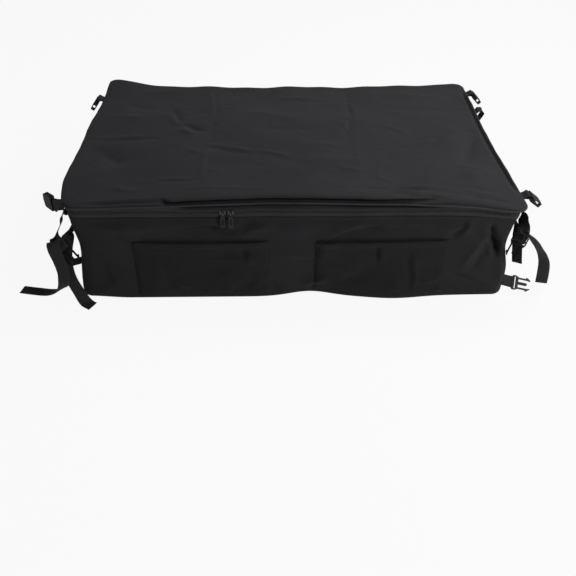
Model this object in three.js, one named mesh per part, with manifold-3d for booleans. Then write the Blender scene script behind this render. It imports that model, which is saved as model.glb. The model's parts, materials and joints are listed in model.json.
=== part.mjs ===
// A soft cargo bag that straps onto the rear seat deck of a golf cart: a sewn box of coated
// polyester cloth with a zipped lid, two patch pockets on its front, and webbing with
// side-release buckles at its four corners.
// Millimetres. X runs to the right along the front, Y to the back and Z up. The origin is the
// middle of the base, on the floor.

import * as THREE from "three";
import { mergeVertices } from "three/addons/utils/BufferGeometryUtils.js";
import Module from "manifold-3d";

const wasm = await Module();
wasm.setup();

// Driving dimensions of the sewn box
const rimWidth = 914; // left to right, over the lid's seam
const rimDepth = 610; // front to back, over the lid's seam
const rimHeight = 229; // the lid's seam above the floor
const rimCornerRadius = 28;
const cloth = 2; // coated cloth with its lining
const seamGap = 0.3; // between pieces that are sewn together
const cornerReach = 110; // how far from a corner the wall is drawn in by it

// How the filled cloth stands: how far each wall lies inside the rim, from its foot to its top
const cornerInsets = {
  leftFront: [10, 14, 20, 9],
  rightFront: [3, 2, 15, 12],
  rightBack: [6, 15, 16, 8],
  leftBack: [8, 16, 16, 8],
};
const sideInsets = {
  front: [2, 0, -1, -2],
  right: [5, 15, 16, 8],
  back: [6, 4, 3, 5],
  left: [8, 17, 18, 8],
};
const leftSwell = 20; // the left end swells outwards, most of all near its front
const rightHollow = 7; // the right end is drawn in
const rearSag = 15; // the back edge hangs between its corners
const settleStart = 10; // height above which the cloth's pulls and sags are felt
const cornerPullReach = 80;
const cornerPulls = [
  { x: -1, y: -1, pull: [6, 0, 0] },
  { x: 1, y: -1, pull: [6, -7, -9] },
  { x: -1, y: 1, pull: [-6, 4, 8] },
  { x: 1, y: 1, pull: [-2, 0, -4] },
];
const frontSetback = 8; // the lid's front seam is drawn back in the middle
const lidEdgeRise = 4; // the lid's cloth stands above its seam all round
const lidFrontRise = 12; // and more along the front
const lidRollWidth = 13; // how far in from the seam the lid rolls over

// Zip
const pipingRadius = 2;
const pipingSides = 6;
const tapeWidth = 8; // the visible width of each tape
const tapeThickness = 1;
const coilHeight = 2.2; // one of the two halves of the chain
const coilSlot = 1.2; // between the two halves, where the slider's neck runs
const coilThickness = 2.2;
const tapeInset = 8; // the zip lies this far inside the rim
const zipEndShare = 0.8; // the zip stops at this share of the way to the back corners

// Sliders and their pulls
const leftSliderX = -143;
const rightSliderX = -127;
const sliderLength = 12;
const sliderHeight = 7.6;
const sliderPlate = 1.6;
const sliderClearance = 0.3;
const neckLength = 6;
const neckHeight = 0.6;
const bailWidth = 1.6;
const bailReach = 4.4; // from the slider's front plate to the bail's outside
const bailHeight = 7;
const bailWire = 1.2;
const pullWidth = 9;
const pullLength = 30;
const pullThickness = 1.6;
const pullEyeWidth = 2.6;
const pullEyeLength = 5.4;
const pullHoleWidth = 4;
const pullHoleLength = 12;
const pullHoleStart = 12;
const pullTiltDeg = 17; // the pull lies on the band below the zip

// Patch pockets
const pocketWidth = 272;
const pocketBottom = 14;
const pocketTop = 152;
const pocketCentres = { left: -189, right: 180 };
const pocketCloth = 1.4;
const pocketSeam = 8; // the flat seam round three sides
const pocketBelly = 9; // how far the mouth stands off the wall
const pocketHem = 12; // the folded strip along the mouth
const pocketHemExtra = 0.8;

// Webbing and buckles
const webWidth = 25;
const webThickness = 1.4;
const webClearance = 0.3;
const rootGap = 0.4; // from the sewn end of webbing to the cloth
const floorGap = 0.1; // under webbing that lies on the floor
const barSize = 3; // a buckle's bar, square
const frameWidth = 32;
const slotWidth = 26.4;
const maleThickness = 3.4;
const slotLength = 5;
const adjusterSlotLength = 6; // between the two bars of the adjustable half
const femaleThickness = 9.6;
const femaleLength = 32; // from its bar to its mouth
const femaleBodyStart = 5.5;
const mouthWidth = 26.5;
const mouthHeight = 7;
const mouthDepth = 22;
const windowStart = 13;
const windowLength = 10.5;
const armLength = 27;
const tongueWidth = 6;
const tongueLength = 20;

// Colours
const clothFinish = new THREE.MeshStandardMaterial({ color: 0x2b2b2d, roughness: 0.78, metalness: 0 });
const webFinish = new THREE.MeshStandardMaterial({ color: 0x1c1c1d, roughness: 0.85, metalness: 0 });
const plasticFinish = new THREE.MeshStandardMaterial({ color: 0x161617, roughness: 0.4, metalness: 0 });
const coilFinish = new THREE.MeshStandardMaterial({ color: 0x202022, roughness: 0.5, metalness: 0 });
const sliderFinish = new THREE.MeshStandardMaterial({ color: 0x1a1a1b, roughness: 0.35, metalness: 0.6 });

const halfWidth = rimWidth / 2;
const halfDepth = rimDepth / 2;
const pipingBottom = rimHeight - pipingRadius;
const upperTapeTop = pipingBottom - seamGap;
const upperTapeBottom = upperTapeTop - tapeWidth;
const upperCoilTop = upperTapeBottom - seamGap;
const upperCoilBottom = upperCoilTop - coilHeight;
const zipCentreZ = upperCoilBottom - coilSlot / 2;
const lowerCoilTop = upperCoilBottom - coilSlot;
const lowerCoilBottom = lowerCoilTop - coilHeight;
const lowerTapeTop = lowerCoilBottom - seamGap;
const lowerTapeBottom = lowerTapeTop - tapeWidth;
const wallTop = lowerTapeBottom - seamGap;
const hemHeight = 18; // the wall's top hem, which leans in to meet the tape
const hemBottom = wallTop - hemHeight;
const wallBottom = cloth + seamGap;
const lidSeamZ = rimHeight + pipingRadius + seamGap;

const bag = new THREE.Group();
bag.name = "rear_seat_bag";

const clamp01 = (v) => Math.min(1, Math.max(0, v));
const smooth = (v) => clamp01(v) ** 2 * (3 - 2 * clamp01(v));
const mix = (a, b, k) => a + (b - a) * k;
const radians = THREE.MathUtils.degToRad;

// A smooth profile through values at even heights
function profileAt(values, h) {
  return new THREE.SplineCurve(values.map((v, i) => new THREE.Vector2(i, v))).getPoint(clamp01(h)).y;
}

// A bump of the given middle and half-width
const bump = (v, middle, half) => Math.exp(-(((v - middle) / half) ** 2));

// Meshes and solids

function piece(name, geometry, material, parent = bag) {
  const mesh = new THREE.Mesh(geometry, material);
  mesh.name = name;
  parent.add(mesh);
  return mesh;
}

function geometryOf(positions, triangles) {
  const geometry = new THREE.BufferGeometry();
  geometry.setAttribute("position", new THREE.Float32BufferAttribute(positions, 3));
  geometry.setIndex(triangles);
  geometry.computeVertexNormals();
  return geometry;
}

// A closed sheet between two grids of points, outer[i][j] and inner[i][j]
function sheetSolid(outer, inner, ring = false) {
  const columns = outer.length;
  const rows = outer[0].length;
  const positions = [];
  for (const grid of [outer, inner])
    for (const column of grid) for (const p of column) positions.push(p.x, p.y, p.z);
  const out = (i, j) => (i % columns) * rows + j;
  const back = (i, j) => (columns + (i % columns)) * rows + j;
  const triangles = [];
  const quad = (a, b, c, d) => triangles.push(a, b, c, a, c, d);
  const spans = ring ? columns : columns - 1;
  for (let i = 0; i < spans; i++) {
    for (let j = 0; j < rows - 1; j++) {
      quad(out(i, j), out(i + 1, j), out(i + 1, j + 1), out(i, j + 1));
      quad(back(i, j), back(i, j + 1), back(i + 1, j + 1), back(i + 1, j));
    }
    quad(out(i, 0), back(i, 0), back(i + 1, 0), out(i + 1, 0));
    quad(out(i, rows - 1), out(i + 1, rows - 1), back(i + 1, rows - 1), back(i, rows - 1));
  }
  if (!ring) {
    const last = columns - 1;
    for (let j = 0; j < rows - 1; j++) {
      quad(out(0, j), out(0, j + 1), back(0, j + 1), back(0, j));
      quad(out(last, j), back(last, j), back(last, j + 1), out(last, j + 1));
    }
  }
  return geometryOf(positions, triangles);
}

// A closed ring of sections, each a loop of points
function ringSolid(sections) {
  const count = sections[0].length;
  const positions = sections.flatMap((section) => section.flatMap((p) => [p.x, p.y, p.z]));
  const at = (i, j) => (i % sections.length) * count + (j % count);
  const triangles = [];
  for (let i = 0; i < sections.length; i++)
    for (let j = 0; j < count; j++)
      triangles.push(at(i, j), at(i + 1, j), at(i + 1, j + 1), at(i, j), at(i + 1, j + 1), at(i, j + 1));
  return geometryOf(positions, triangles);
}

function toSolid(geometry) {
  const plain = geometry.clone();
  plain.deleteAttribute("normal");
  plain.deleteAttribute("uv");
  const merged = mergeVertices(plain);
  const vertProperties = new Float32Array(merged.attributes.position.array);
  const triVerts = new Uint32Array(merged.index.array);
  return new wasm.Manifold(new wasm.Mesh({ numProp: 3, vertProperties, triVerts }));
}

function fromSolid(solid) {
  const mesh = solid.getMesh();
  return geometryOf(Array.from(mesh.vertProperties), Array.from(mesh.triVerts));
}

function shapeOf(points) {
  return new THREE.Shape(points.map(([x, y]) => new THREE.Vector2(x, y)));
}

// A flat outline in X and Y, centred on its thickness in Z
function plate(shape, thickness, curveSegments = 6) {
  const options = { depth: thickness, bevelEnabled: false, curveSegments };
  return new THREE.ExtrudeGeometry(shape, options).translate(0, 0, -thickness / 2);
}

function boxAt(x0, x1, y0, y1, z0, z1) {
  const box = new THREE.BoxGeometry(x1 - x0, y1 - y0, z1 - z0);
  return box.translate((x0 + x1) / 2, (y0 + y1) / 2, (z0 + z1) / 2);
}

// Joins some solids and cuts others away
function built(joined, cutters) {
  const whole = joined.map(toSolid).reduce((sum, next) => sum.add(next));
  return fromSolid(cutters.map(toSolid).reduce((rest, cutter) => rest.subtract(cutter), whole));
}

// The rim: a rounded rectangle, walked anticlockwise side by side

const sides = {
  front: { nx: 0, ny: -1, half: halfWidth, reach: halfDepth, corners: ["leftFront", "rightFront"] },
  right: { nx: 1, ny: 0, half: halfDepth, reach: halfWidth, corners: ["rightFront", "rightBack"] },
  back: { nx: 0, ny: 1, half: halfWidth, reach: halfDepth, corners: ["rightBack", "leftBack"] },
  left: { nx: -1, ny: 0, half: halfDepth, reach: halfWidth, corners: ["leftBack", "leftFront"] },
};
const quarterTurn = Math.PI / 2;
const halfArc = (rimCornerRadius * quarterTurn) / 2;

// How far along a side its end lies, in the middle of the corner's arc
const endOf = (name) => sides[name].half - rimCornerRadius + halfArc;

// The rim at distance s along a side, with its outward normal
function rimPlace(name, s) {
  const { nx, ny, half, reach } = sides[name];
  const straight = half - rimCornerRadius;
  const turn = Math.sign(s) * (Math.max(0, Math.abs(s) - straight) / rimCornerRadius);
  const along = turn === 0 ? s : Math.sign(s) * straight + rimCornerRadius * Math.sin(turn);
  const out = reach - rimCornerRadius * (1 - Math.cos(turn));
  const [tx, ty] = [-ny, nx];
  return {
    name,
    s,
    x: tx * along + nx * out,
    y: ty * along + ny * out,
    nx: tx * Math.sin(turn) + nx * Math.cos(turn),
    ny: ty * Math.sin(turn) + ny * Math.cos(turn),
  };
}

const arcSteps = 3;

// Places along a side, evenly spaced on its straight part and closer on its arcs
function placesAlong(name, step, from = -endOf(name), to = endOf(name)) {
  const straight = sides[name].half - rimCornerRadius;
  const places = [];
  for (let k = arcSteps; k > 0; k--) places.push(-straight - (halfArc * k) / arcSteps);
  const spans = Math.round((2 * straight) / step);
  for (let k = 0; k <= spans; k++) places.push(-straight + (2 * straight * k) / spans);
  for (let k = 1; k <= arcSteps; k++) places.push(straight + (halfArc * k) / arcSteps);
  const near = step / 4;
  const inside = places.filter((s) => s > from + near && s < to - near);
  const isEnd = Math.abs(from) >= endOf(name) || Math.abs(to) >= endOf(name);
  const kept = isEnd ? places.filter((s) => s > from + 1e-6 && s < to - 1e-6) : inside;
  return [from, ...kept, to].map((s) => rimPlace(name, s));
}

// The front wall's foot is pushed in and out by the floor
const footWave = (x) => 17 * bump(x, 35, 60) - 10 * bump(x, 215, 75);

// How far a wall lies inside the rim, at share h of its height
function insetAt(place, h) {
  const end = endOf(place.name);
  const towardsCorner = smooth((Math.abs(place.s) - (end - cornerReach)) / cornerReach);
  const corner = sides[place.name].corners[place.s < 0 ? 0 : 1];
  let inset = profileAt(sideInsets[place.name], h);
  if (place.name === "front") inset += footWave(place.x) * (1 - h) ** 2;
  return mix(inset, profileAt(cornerInsets[corner], h), towardsCorner);
}

// The soft shell as it stands: its left end swells, its right end is hollow, its back edge
// sags and its corners are pulled about
function settled(x, y, z) {
  const acrossBack = 1 - (x / halfWidth) ** 4;
  const swell = 0.8 * bump(y, -0.62 * halfDepth, 110) + 0.65 * bump(y, 0.13 * halfDepth, 150);
  const hollow = Math.cos((Math.PI * y) / rimDepth) ** 2;
  const outward = x < 0 ? leftSwell * swell : -rightHollow * hollow;
  const lift = Math.max(0, z - settleStart) / (rimHeight - settleStart);
  const p = new THREE.Vector3(x, y, z);
  p.x += Math.sign(x) * outward * (x / halfWidth) ** 2;
  p.z -= rearSag * acrossBack * smooth(y / halfDepth) * lift;
  for (const corner of cornerPulls) {
    const away = Math.hypot(x - corner.x * halfWidth, y - corner.y * halfDepth);
    p.addScaledVector(new THREE.Vector3(...corner.pull), bump(away, 0, cornerPullReach) * lift ** 2);
  }
  return p;
}

// The rim's point moved inwards by a distance, at a height
function shellPoint(place, inset, z) {
  return settled(place.x - place.nx * inset, place.y - place.ny * inset, z);
}

// How far the lid's seam is drawn back from the rim
function setbackAt(x, y) {
  return frontSetback * Math.cos((Math.PI * x) / rimWidth) ** 2 * Math.max(0, -y / halfDepth) ** 2;
}

// Walls and base

const wallRows = 7;
const wallSteps = { front: 42, right: 66, back: 70, left: 66 };

// The wall's inset at a height, with its top hem leaning in to the tape
function wallInset(place, z) {
  if (z <= hemBottom) return insetAt(place, (z - wallBottom) / (hemBottom - wallBottom));
  return mix(insetAt(place, 1), tapeInset - tapeThickness / 2, (z - hemBottom) / hemHeight);
}

function wallHeights() {
  const heights = [];
  for (let k = 0; k < wallRows; k++) heights.push(mix(wallBottom, hemBottom, k / (wallRows - 1)));
  return [...heights, wallTop];
}

// The end places are pulled apart so that two panels keep a gap at their seam
function trimmed(places) {
  const shift = seamGap * 0.7;
  return places.map((place, i) => {
    const way = i === 0 ? 1 : i === places.length - 1 ? -1 : 0;
    return { ...place, x: place.x - place.ny * shift * way, y: place.y + place.nx * shift * way };
  });
}

// The upper end of the span between values that holds v
function spanEnd(values, v) {
  const above = values.findIndex((value) => value >= v);
  return above < 0 ? values.length - 1 : Math.max(1, above);
}

// A point of a wall's facets, for a distance along the rim and a height before it settles
function onWall(name, s, z) {
  const places = placesAlong(name, wallSteps[name]);
  const heights = wallHeights();
  const i = spanEnd(places.map((place) => place.s), s);
  const j = spanEnd(heights, z);
  const [a, b] = [places[i - 1], places[i]];
  const [low, high] = [heights[j - 1], heights[j]];
  const corner = (place, height) => shellPoint(place, wallInset(place, height), height);
  const across = (s - a.s) / (b.s - a.s);
  const up = (z - low) / (high - low);
  const [start, end] = [corner(a, low), corner(b, high)];
  const bend = across > up ? corner(b, low) : corner(a, high);
  const [first, second] = across > up ? [across, up] : [up, across];
  return start.addScaledVector(bend.clone().sub(start), first).addScaledVector(end.sub(bend), second);
}

function wallPanel(name) {
  const places = trimmed(placesAlong(name, wallSteps[name]));
  const heights = wallHeights();
  const layer = (depth) =>
    places.map((place) => heights.map((z) => shellPoint(place, wallInset(place, z) + depth, z)));
  return sheetSolid(layer(0), layer(cloth));
}

piece("front_panel", wallPanel("front"), clothFinish);
piece("right_end_panel", wallPanel("right"), clothFinish);
piece("back_panel", wallPanel("back"), clothFinish);
piece("left_end_panel", wallPanel("left"), clothFinish);

function basePanel() {
  const outline = [];
  for (const [name, step] of Object.entries(wallSteps)) {
    const places = placesAlong(name, step).slice(0, -1);
    for (const place of places) {
      const p = shellPoint(place, insetAt(place, 0), 0);
      outline.push(new THREE.Vector2(p.x, p.y));
    }
  }
  const options = { depth: cloth, bevelEnabled: false };
  return new THREE.ExtrudeGeometry(new THREE.Shape(outline), options);
}

piece("base_panel", basePanel(), clothFinish);

// Zip round the front and both ends

const zipStep = 70;
const zipEnd = halfDepth * zipEndShare;
const zipPath = [
  ...placesAlong("left", zipStep, -zipEnd, endOf("left")).slice(0, -1),
  ...placesAlong("front", zipStep).slice(0, -1),
  ...placesAlong("right", zipStep, -endOf("right"), zipEnd),
];

// A strip that follows places. Each long edge is given as its height and its inset.
function strip(places, low, high, thickness) {
  const edge = (place, [z, insetOf], depth) => shellPoint(place, insetOf(place) + depth, z);
  const layer = (depth) => places.map((place) => [edge(place, low, depth), edge(place, high, depth)]);
  return sheetSolid(layer(-thickness / 2), layer(thickness / 2));
}

const alongZip = () => tapeInset;
const underPiping = (place) => setbackAt(place.x, place.y) + pipingRadius;

piece(
  "zip_lower_tape",
  strip(zipPath, [lowerTapeBottom, alongZip], [lowerTapeTop, alongZip], tapeThickness),
  webFinish,
);
piece(
  "zip_upper_tape",
  strip(zipPath, [upperTapeBottom, alongZip], [upperTapeTop, underPiping], tapeThickness),
  webFinish,
);
piece(
  "zip_lower_coil",
  strip(zipPath, [lowerCoilBottom, alongZip], [lowerCoilTop, alongZip], coilThickness),
  coilFinish,
);
piece(
  "zip_upper_coil",
  strip(zipPath, [upperCoilBottom, alongZip], [upperCoilTop, alongZip], coilThickness),
  coilFinish,
);

const hingePath = [
  ...placesAlong("right", zipStep, zipEnd + 2 * seamGap, endOf("right")).slice(0, -1),
  ...placesAlong("back", zipStep).slice(0, -1),
  ...placesAlong("left", zipStep, -endOf("left"), -zipEnd - 2 * seamGap),
];
piece(
  "rear_hinge_band",
  strip(hingePath, [lowerTapeBottom, alongZip], [upperTapeTop, () => pipingRadius], cloth),
  clothFinish,
);

// Piping along the lid's seam

const pipingStep = 40;
const rimPath = ["front", "right", "back", "left"].flatMap((name) =>
  placesAlong(name, pipingStep).slice(0, -1),
);

function piping() {
  return ringSolid(
    rimPath.map((place) => {
      const inset = setbackAt(place.x, place.y);
      const section = [];
      for (let k = 0; k < pipingSides; k++) {
        const angle = (k / pipingSides) * 2 * Math.PI;
        const out = pipingRadius * Math.cos(angle);
        section.push(shellPoint(place, inset - out, rimHeight + pipingRadius * Math.sin(angle)));
      }
      return section;
    }),
  );
}

piece("lid_piping", piping(), webFinish);

// Lid: one panel, rolled over at its seam and crowned along the front

const lidColumns = 20;
const lidRows = 13;
const rollSteps = [0, 0.25, 0.55, 1];

// Grid lines from one edge to the other: close together where the lid rolls over
function lidLines(half, count) {
  const edge = rollSteps.map((k) => -half + k * lidRollWidth);
  const flat = 2 * (half - lidRollWidth);
  const middle = [];
  for (let k = 1; k < count; k++) middle.push(-half + lidRollWidth + (flat * k) / count);
  return [...edge, ...middle, ...edge.map((v) => -v).reverse()];
}

// Rounds the corners of a rectangle's grid
function rounded(x, y) {
  const dx = Math.abs(x) - (halfWidth - rimCornerRadius);
  const dy = Math.abs(y) - (halfDepth - rimCornerRadius);
  if (dx <= 0 || dy <= 0) return [x, y];
  const k = Math.max(dx, dy) / Math.hypot(dx, dy);
  const cx = halfWidth - rimCornerRadius + dx * k;
  const cy = halfDepth - rimCornerRadius + dy * k;
  return [Math.sign(x) * cx, Math.sign(y) * cy];
}

function lidPoint(x, y) {
  const inside = Math.min(halfWidth - Math.abs(x), halfDepth - Math.abs(y));
  const roll = Math.sqrt(1 - (1 - clamp01(inside / lidRollWidth)) ** 2);
  const v = y / halfDepth;
  const acrossFront = (1 - (x / halfWidth) ** 2) * (0.65 - 0.35 * v) * (1 - smooth(v));
  const [px, py] = rounded(x, y);
  const z = lidSeamZ + roll * (lidEdgeRise + lidFrontRise * acrossFront);
  return settled(px, py + setbackAt(px, py), z);
}

// The same grid, moved inwards along its normals
function offsetGrid(grid, depth) {
  const within = (n, count) => THREE.MathUtils.clamp(n, 0, count - 1);
  const at = (i, j) => grid[within(i, grid.length)][within(j, grid[0].length)];
  return grid.map((column, i) =>
    column.map((p, j) => {
      const along = at(i + 1, j).clone().sub(at(i - 1, j));
      const across = at(i, j + 1).clone().sub(at(i, j - 1));
      const normal = along.cross(across).normalize();
      const onEdge = i === 0 || j === 0 || i === grid.length - 1 || j === grid[0].length - 1;
      if (onEdge) normal.setZ(0).normalize();
      return p.clone().addScaledVector(normal, -depth);
    }),
  );
}

function lidPanel() {
  const xs = lidLines(halfWidth, lidColumns);
  const ys = lidLines(halfDepth, lidRows);
  const outer = xs.map((x) => ys.map((y) => lidPoint(x, y)));
  return sheetSolid(outer, offsetGrid(outer, cloth));
}

piece("lid_panel", lidPanel(), clothFinish);

// Patch pockets on the front panel

const pocketMargin = 4; // no fold of the cloth lies closer than this to a seam

// The lines of a grid between two ends: the wall's own lines, and halfway between them
function linesBetween(low, high, wallLines) {
  const halves = wallLines.slice(1).map((v, i) => (v + wallLines[i]) / 2);
  const inner = [...wallLines, ...halves].filter((v) => v > low + pocketMargin && v < high - pocketMargin);
  return [low, ...inner.sort((a, b) => a - b), high];
}

function pocket(centre) {
  const half = pocketWidth / 2;
  const innerHalf = half - pocketSeam;
  const stations = placesAlong("front", wallSteps.front).map((place) => place.s);
  const inner = linesBetween(centre - innerHalf, centre + innerHalf, stations);
  const across = [centre - half, ...inner, centre + half];
  const seamZ = pocketBottom + pocketSeam;
  const hemZ = pocketTop - pocketHem;
  const up = [pocketBottom, ...linesBetween(seamZ, hemZ - 1, wallHeights()), hemZ, pocketTop];
  const bellyAt = (s, z) => {
    const side = Math.sqrt(Math.max(0, 1 - ((s - centre) / innerHalf) ** 4));
    return pocketBelly * side * clamp01((z - seamZ) / (pocketTop - seamZ)) ** 0.45;
  };
  const layer = (depth, hem) =>
    across.map((s) =>
      up.map((z) => {
        const stand = seamGap + bellyAt(s, z) + depth + (z >= hemZ ? hem : 0);
        return onWall("front", s, z).add(new THREE.Vector3(0, -stand, 0));
      }),
    );
  return sheetSolid(layer(pocketCloth, pocketHemExtra), layer(0, 0));
}

piece("left_pocket", pocket(pocketCentres.left), clothFinish);
piece("right_pocket", pocket(pocketCentres.right), clothFinish);

// Sliders and pulls, each built about the middle of the zip

const zipFrontY = -halfDepth + tapeInset;
const plateOffset = coilThickness / 2 + sliderClearance;
const bailAxisOffset = plateOffset + sliderPlate + (bailReach - bailWire) / 2;

function slider() {
  const x = sliderLength / 2;
  const z = sliderHeight / 2;
  const front = boxAt(-x, x, -plateOffset - sliderPlate, -plateOffset, -z, z);
  const rear = boxAt(-x, x, plateOffset, plateOffset + sliderPlate, -z, z);
  const neckReach = plateOffset + sliderPlate / 2;
  const neck = boxAt(-neckLength / 2, neckLength / 2, -neckReach, neckReach, -neckHeight / 2, neckHeight / 2);
  const face = -plateOffset - sliderPlate;
  const [bailX, bailZ] = [bailWidth / 2, bailHeight / 2];
  const bailOut = boxAt(-bailX, bailX, face - bailReach, face + 0.5, -bailZ, bailZ);
  const open = bailHeight / 2 - bailWire;
  const bailHole = boxAt(-bailWidth, bailWidth, face - bailReach + bailWire, face, -open, open);
  return built([front, rear, neck, bailOut], [bailHole]);
}

// The pull hangs from the middle of its top bar, which lies inside the bail
function pull() {
  const half = pullWidth / 2;
  const bar = pullThickness / 2;
  const neck = half * 0.62;
  const outline = shapeOf([
    [-neck, bar],
    [-neck, -pullEyeLength - bar],
    [-half, -pullEyeLength - 3.5],
    [-half, -pullLength + 2],
    [-half + 2, -pullLength],
    [half - 2, -pullLength],
    [half, -pullLength + 2],
    [half, -pullEyeLength - 3.5],
    [neck, -pullEyeLength - bar],
    [neck, bar],
  ]);
  const hole = (w, top, length) => boxAt(-w / 2, w / 2, top - length, top, -pullThickness, pullThickness);
  const eye = hole(pullEyeWidth, -bar, pullEyeLength);
  const grip = hole(pullHoleWidth, -pullHoleStart, pullHoleLength);
  return built([plate(outline, pullThickness)], [eye, grip]).rotateX(quarterTurn);
}

for (const [side, x] of [["left", leftSliderX], ["right", rightSliderX]]) {
  const runner = new THREE.Group();
  runner.position.set(x, zipFrontY, zipCentreZ);
  bag.add(runner);
  piece(`${side}_slider`, slider(), sliderFinish, runner);
  const hanging = piece(`${side}_pull`, pull(), sliderFinish, runner);
  hanging.position.set(0, -bailAxisOffset, 0);
  hanging.rotation.x = -radians(pullTiltDeg);
}

// Buckle halves, each with its bar along Y at the origin and its working end towards +X

const barHalf = barSize / 2;
const frameHalf = frameWidth / 2;

function slotFrom(x0, x1) {
  return boxAt(x0, x1, -slotWidth / 2, slotWidth / 2, -femaleThickness, femaleThickness);
}

// The half with the two sprung arms and the tongue. An adjustable one has a second bar behind.
function maleHalf(adjustable) {
  const back = adjustable ? -barSize - adjusterSlotLength - barHalf : -barHalf;
  const shoulder = barHalf + slotLength;
  const root = shoulder + 5.5;
  const tip = root + armLength;
  const upper = [
    [root, tongueWidth / 2],
    [root + tongueLength - 2, tongueWidth / 2],
    [root + tongueLength, tongueWidth / 2 - 1.5],
  ];
  const arm = [
    [tip, 8.2],
    [tip, 10],
    [tip - 7, 15],
    [tip - 9.5, 15],
    [tip - 9.5, 12.6],
    [root + 1, 12.6],
    [shoulder, frameHalf],
  ];
  const innerArm = [[root, 9.2], [tip - 6, 9.2]];
  const half = [...upper.reverse(), ...innerArm, ...arm, [back + 1.5, frameHalf], [back, frameHalf - 1.5]];
  const mirrored = half.map(([x, y]) => [x, -y]).reverse();
  const slots = [slotFrom(barHalf, shoulder)];
  if (adjustable) slots.push(slotFrom(-barHalf - adjusterSlotLength, -barHalf));
  return built([plate(shapeOf([...half, ...mirrored]), maleThickness)], slots);
}

// The half that the arms push into, open at its mouth and at both sides
function femaleHalf() {
  const bodyHalf = frameHalf + 0.5;
  const frame = boxAt(-barHalf, femaleBodyStart + 1, -frameHalf, frameHalf, -barHalf, barHalf);
  const body = shapeOf([
    [femaleBodyStart, -frameHalf],
    [femaleBodyStart + 4, -bodyHalf],
    [femaleLength - 3, -bodyHalf + 1],
    [femaleLength, -bodyHalf + 3],
    [femaleLength + 1.5, 0],
    [femaleLength, bodyHalf - 3],
    [femaleLength - 3, bodyHalf - 1],
    [femaleBodyStart + 4, bodyHalf],
    [femaleBodyStart, frameHalf],
  ]);
  const [mouthY, mouth] = [mouthWidth / 2, mouthHeight / 2];
  const cavity = boxAt(femaleLength - mouthDepth, femaleLength + 5, -mouthY, mouthY, -mouth, mouth);
  const sideways = boxAt(windowStart, windowStart + windowLength, -frameWidth, frameWidth, -mouth, mouth);
  const slot = slotFrom(barHalf, femaleBodyStart);
  return built([frame, plate(body, femaleThickness)], [slot, cavity, sideways]);
}

// Webbing folded round a bar at the origin, with its two layers running back along -X
const foldInner = Math.hypot(barHalf, barHalf) + webClearance;
const foldOuter = foldInner + webThickness;
const layersMeet = 9;

function foldedTab(length) {
  const outline = new THREE.Shape();
  outline.moveTo(-length, -webThickness);
  outline.lineTo(-layersMeet, -webThickness);
  outline.lineTo(0, -foldOuter);
  outline.absarc(0, 0, foldOuter, -quarterTurn, quarterTurn, false);
  outline.lineTo(-layersMeet, webThickness);
  outline.lineTo(-length, webThickness);
  const eye = new THREE.Path();
  eye.moveTo(-layersMeet + 1, 0);
  eye.lineTo(0, foldInner);
  eye.absarc(0, 0, foldInner, quarterTurn, -quarterTurn, true);
  outline.holes.push(eye);
  return plate(outline, webWidth, 4).rotateX(quarterTurn);
}

// Webbing that follows points, each with the way its width lies
function ribbon(points, steps) {
  const curve = new THREE.CatmullRomCurve3(points.map(({ at }) => at), false, "centripetal");
  const last = points.length - 1;
  const outer = [];
  const inner = [];
  for (let k = 0; k <= last * steps; k++) {
    const along = k / steps;
    const i = Math.min(last - 1, Math.floor(along));
    const at = curve.getPoint(along / last);
    const tangent = curve.getTangent(along / last);
    const width = points[i].width.clone().lerp(points[i + 1].width, smooth(along - i));
    width.addScaledVector(tangent, -width.dot(tangent)).normalize();
    const normal = tangent.clone().cross(width).multiplyScalar(webThickness / 2);
    width.multiplyScalar(webWidth / 2);
    at.z = Math.max(at.z, floorGap + Math.abs(width.z) + Math.abs(normal.z));
    const edge = (side, face) => at.clone().addScaledVector(width, side).addScaledVector(normal, face);
    outer.push([edge(-1, 1), edge(1, 1)]);
    inner.push([edge(-1, -1), edge(1, -1)]);
  }
  return sheetSolid(outer, inner);
}

// How webbing is threaded through the adjustable half: X along the buckle, Z through it
const thread = [
  [-15, -2.9],
  [-9, -2.7],
  [-5.9, -1.9],
  [-4.2, 0.6],
  [-2.1, 2.7],
  [0.4, 3],
  [2.6, 2.3],
  [3.9, 0],
  [3.2, -2.9],
  [0.4, -4.8],
  [-5, -5.2],
  [-15, -5.2],
];

const vector = ([x, y, z]) => new THREE.Vector3(x, y, z);

// A frame with X along `way` and Y along `width`
function frameOf(at, way, width) {
  const x = vector(way).normalize();
  const y = vector(width);
  y.addScaledVector(x, -y.dot(x)).normalize();
  const z = x.clone().cross(y);
  return new THREE.Matrix4().makeBasis(x, y, z).setPosition(vector(at));
}

// Straps at each corner. `out` is +1 on the right end and -1 on the left, and `back` is +1 at the
// back and -1 at the front. Points are measured from the corner of the rim: outwards, to the back,
// and up from the floor. Each tab stands out along `way`, with its webbing's width along `width`.

const topTabLength = 11;
const bottomTabLength = 24;
const ribbonSteps = 2;

// Points of webbing that all have their width the same way
const flat = (width, ...points) => points.map((at) => ({ at, width }));

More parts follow.
